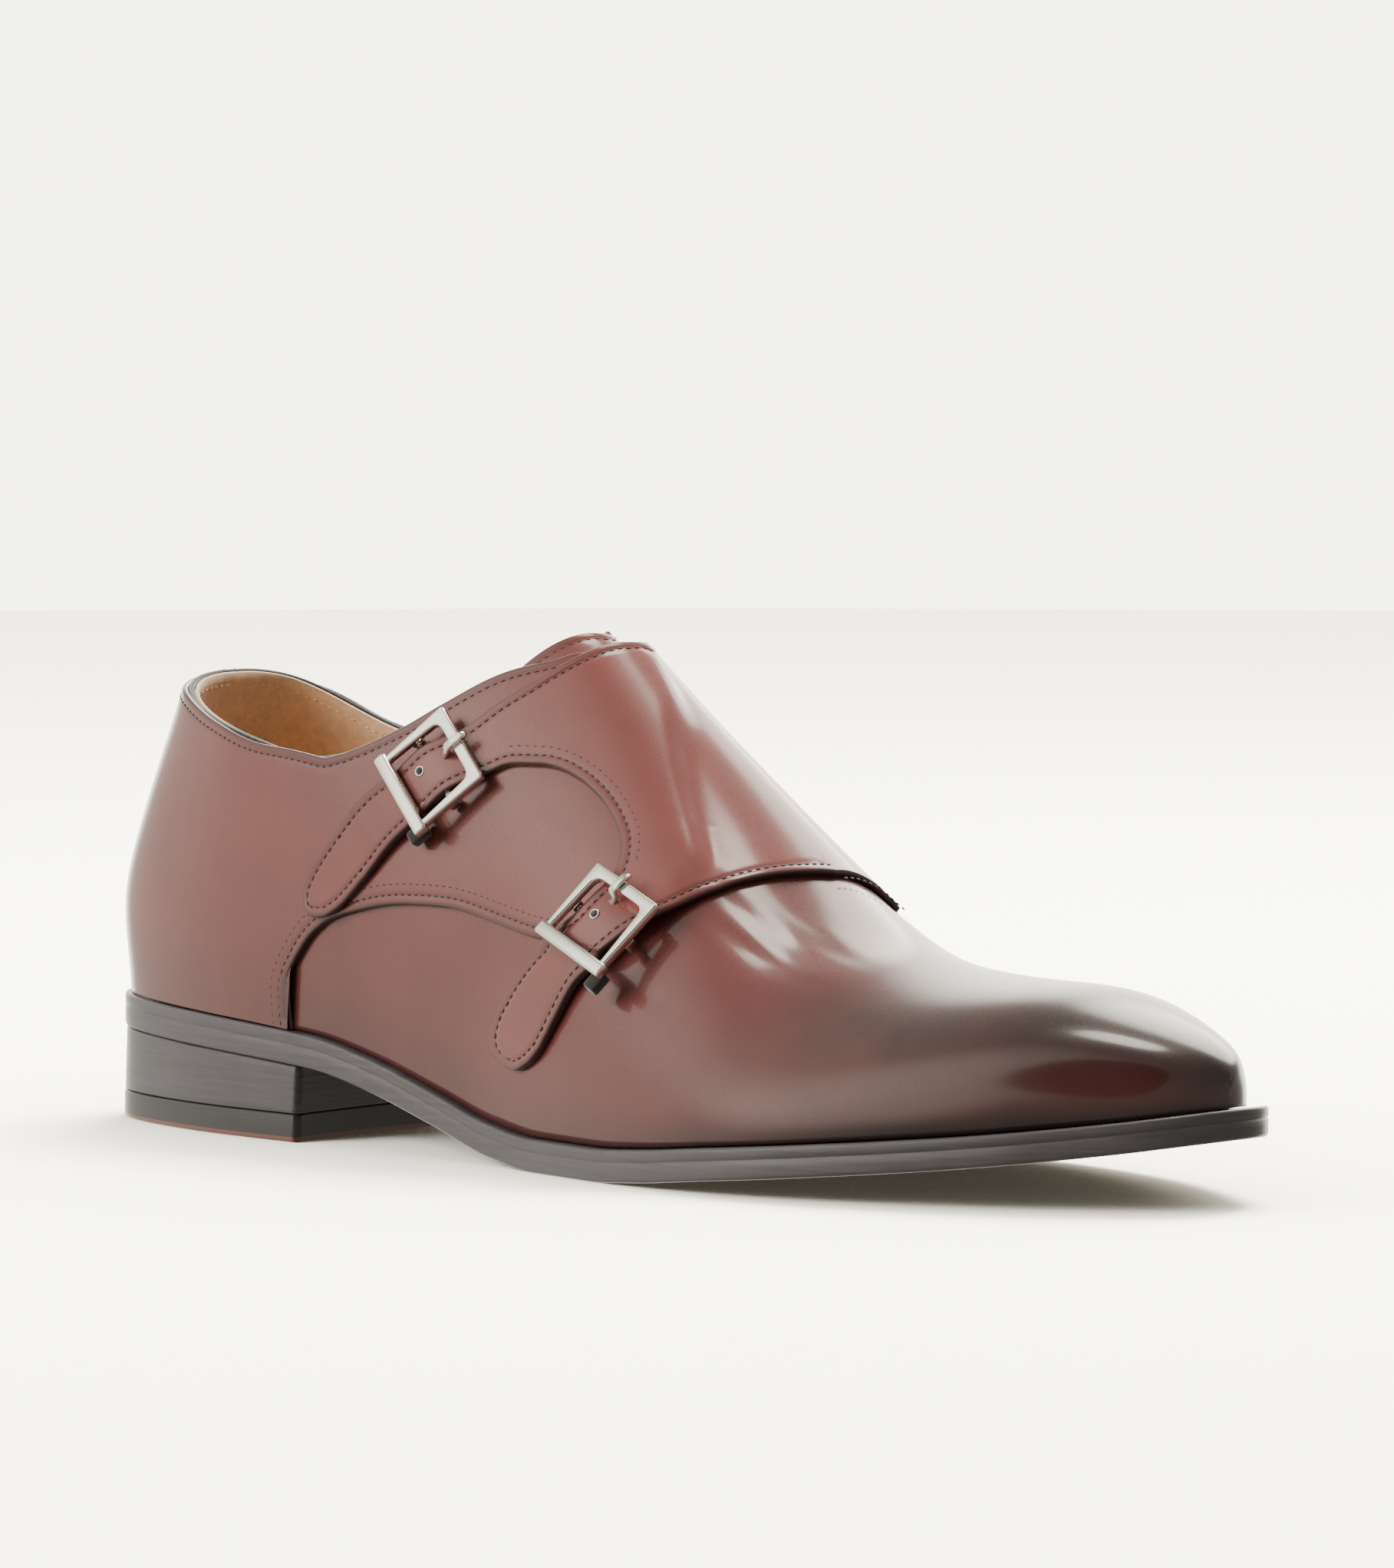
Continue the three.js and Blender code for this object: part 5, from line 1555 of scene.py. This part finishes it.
def add_camera():
    back, right, up = camera_axes()
    target = Vector(to_frame(TARGET))
    data = bpy.data.cameras.new("camera")
    data.sensor_fit = "HORIZONTAL"
    data.sensor_width = 36.0
    data.lens = LENS
    data.clip_end = 50.0
    camera = bpy.data.objects.new("camera", data)
    bpy.context.scene.collection.objects.link(camera)
    camera.location = target + back * DISTANCE
    aim = target + right * AIM_RIGHT + up * AIM_UP
    camera.rotation_euler = (aim - camera.location).to_track_quat("-Z", "Y").to_euler()
    bpy.context.scene.camera = camera


# Uniform level of the studio, and its fields: direction, cosine where it starts, cosine where it is
# full, strength
STUDIO_LEVEL = 0.50
STUDIO_FIELDS = (
    ((-0.15, 0.78, 0.60), 0.91, 0.965, 8.5),
    ((-0.64, 0.77, 0.02), 0.75, 0.95, 4.5),
    ((0.00, 0.14, 0.99), 0.982, 0.996, 16.0),
    ((-0.85, -0.50, 0.10), 0.30, 0.95, 0.9),
    ((-0.10, -0.85, 0.50), 0.70, 0.95, 1.3),
    ((0.50, -0.70, 0.50), 0.90, 0.97, -2.0),
)
# Lights: name, place, sizes, share of the key power
LIGHTS = (
    ("overhead", (-0.2, 0.75, 1.35), (0.8, 0.6), 1.0),
    ("fill", (-0.7, -1.3, 0.75), (0.9, 0.7), 0.42),
)
LIGHT_AIM = (0.0, 0.0, 0.04)
# Floor's radius, radius of the cove where the wall starts, top of the wall, in metres
FLOOR_RADIUS = 2.4
COVE = 1.6
WALL_TOP = 3.2
COVE_STEPS = 10
# Distance and power of the shade that the shoe leaves on the floor's own glow
CONTACT = (0.16, 3.4)
# Share of the wall's glow at the floor, and the height where it is full
WALL_FOOT = (0.97, 0.5)


def add_light(name, location, size, power):
    data = bpy.data.lights.new(name, "AREA")
    data.shape = "RECTANGLE"
    data.size, data.size_y = size
    data.energy = power
    light = bpy.data.objects.new(name, data)
    bpy.context.scene.collection.objects.link(light)
    light.location = location
    light.rotation_euler = (Vector(LIGHT_AIM) - Vector(location)).to_track_quat("-Z", "Y").to_euler()
    light.visible_glossy = False


def studio_world(tone):
    """World of the studio: a dim room with soft bright fields."""
    world = bpy.data.worlds.new("studio")
    tree = Nodes(world)
    direction = tree.add("TexCoord", {}, "Generated")
    total = None
    for axis, start, full, strength in STUDIO_FIELDS:
        dot = tree.add("VectorMath", {0: direction, 1: Vector(axis).normalized()}, "Value",
                       operation="DOT_PRODUCT")
        inputs = {"Value": dot, "From Min": start, "From Max": full, "To Min": 0.0, "To Max": strength}
        field = tree.add("MapRange", inputs, "Result", interpolation_type="SMOOTHSTEP")
        total = tree.maths("ADD", total, field) if total else field
    total = tree.maths("MAXIMUM", tree.maths("ADD", total, STUDIO_LEVEL), 0.02)
    tree.give(tree.nodes["Background"], {"Color": (*tone, 1.0), "Strength": total})
    bpy.context.scene.world = world


class MONK_OT_stage(PieceOperator, bpy.types.Operator):
    """Stage: a pale floor, a pale wall round it that only the camera sees, soft lights and the world"""

    bl_idname = "monk.stage"
    bl_label = "Stage"

    def make(self):
        stage = settings("stage")
        tone = tuple(stage.tone)
        turns = [k * math.pi / 2 / COVE_STEPS for k in range(COVE_STEPS + 1)]
        cove = [(FLOOR_RADIUS + COVE * math.sin(turn), COVE - COVE * math.cos(turn)) for turn in turns]
        flat = [(0.0, 0.0), (FLOOR_RADIUS / 2, 0.0), (FLOOR_RADIUS, 0.0)]
        self.surface("floor", flat, tone, self.floor_glow, stage.glow)
        self.surface("backdrop", cove + [(FLOOR_RADIUS + COVE, WALL_TOP)], tone, self.wall_glow,
                     stage.wall_glow)
        studio_world(tone)
        for name, place, size, share in LIGHTS:
            add_light(name, place, size, stage.key * share)

    def floor_glow(self, made, glow):
        distance, power = CONTACT
        near = made.add("AmbientOcclusion", {"Distance": distance}, "AO", samples=8)
        return made.maths("MULTIPLY", made.maths("POWER", near, power), glow)

    def wall_glow(self, made, glow):
        share, height = WALL_FOOT
        level = made.add("SeparateXYZ", {"Vector": made.place}, "Z")
        return made.add("MapRange", {"Value": level, "From Min": 0.0, "From Max": height,
                                     "To Min": glow * share, "To Max": glow}, "Result")

    def surface(self, name, points, tone, strength, glow):
        """Spins a line of radii and heights into a surface of the stage that gives its own light."""
        bm = bmesh.new()
        verts = [bm.verts.new((radius, 0, z)) for radius, z in points]
        edges = [bm.edges.new(pair) for pair in zip(verts, verts[1:])]
        bmesh.ops.spin(bm, geom=verts + edges, cent=(0, 0, 0), axis=(0, 0, 1), angle=2 * math.pi,
                       steps=96, use_merge=True)
        bmesh.ops.remove_doubles(bm, verts=bm.verts[:], dist=1e-5)
        bmesh.ops.recalc_face_normals(bm, faces=bm.faces[:])
        if sum(face.normal.z for face in bm.faces) < 0:
            bmesh.ops.reverse_faces(bm, faces=bm.faces[:])
        for face in bm.faces:
            face.smooth = True
        mesh = bpy.data.meshes.new(name)
        bm.to_mesh(mesh)
        bm.free()
        wall = name == "backdrop"
        made = Finish(name)
        made.give(made.shader, {
            "Base Color": (0.0, 0.0, 0.0, 1.0) if wall else (*tone, 1.0), "Roughness": 0.9,
            "Specular IOR Level": 0.0, "Emission Color": (*tone, 1.0),
            "Emission Strength": strength(made, glow),
        })
        mesh.materials.append(made.material)
        piece = bpy.data.objects.new(name, mesh)
        bpy.context.scene.collection.objects.link(piece)
        piece.visible_glossy = piece.visible_diffuse = False
        piece.visible_shadow = not wall


# ---- panel ----

GROUPS = {
    "leather": LeatherSettings, "stitches": StitchSettings, "bottom": BottomSettings,
    "metal": MetalSettings, "stage": StageSettings,
}
OPERATORS = (
    MONK_OT_stage, MONK_OT_vamp, MONK_OT_collar_edge, MONK_OT_lining, MONK_OT_outer_quarter,
    MONK_OT_inner_quarter, MONK_OT_tongue, MONK_OT_sole, MONK_OT_heel, MONK_OT_insole,
    MONK_OT_stitching, MONK_OT_buckles, MONK_OT_fittings,
)


class MONK_PT_shoe(bpy.types.Panel):
    """Sidebar panel with the settings and the pieces of the shoe."""

    bl_idname = "MONK_PT_shoe"
    bl_label = "Double Monk Strap Shoe"
    bl_space_type = "VIEW_3D"
    bl_region_type = "UI"
    bl_category = "Shoe"

    def draw(self, context):
        for name, group in GROUPS.items():
            box = self.layout.box()
            box.label(text=group.__doc__)
            for prop in group.__annotations__:
                box.prop(getattr(context.scene, f"monk_{name}"), prop)
        for operator in OPERATORS:
            self.layout.operator(operator.bl_idname)


CLASSES = (*GROUPS.values(), *OPERATORS, MONK_PT_shoe)


def register():
    for cls in CLASSES:
        bpy.utils.register_class(cls)
    for name, group in GROUPS.items():
        setattr(bpy.types.Scene, f"monk_{name}", bpy.props.PointerProperty(type=group))


def unregister():
    for name in GROUPS:
        delattr(bpy.types.Scene, f"monk_{name}")
    for cls in reversed(CLASSES):
        bpy.utils.unregister_class(cls)


def main():
    add_camera()
    register()
    for operator in OPERATORS:
        group, name = operator.bl_idname.split(".")
        getattr(getattr(bpy.ops, group), name)()


if __name__ == "__main__":
    main()
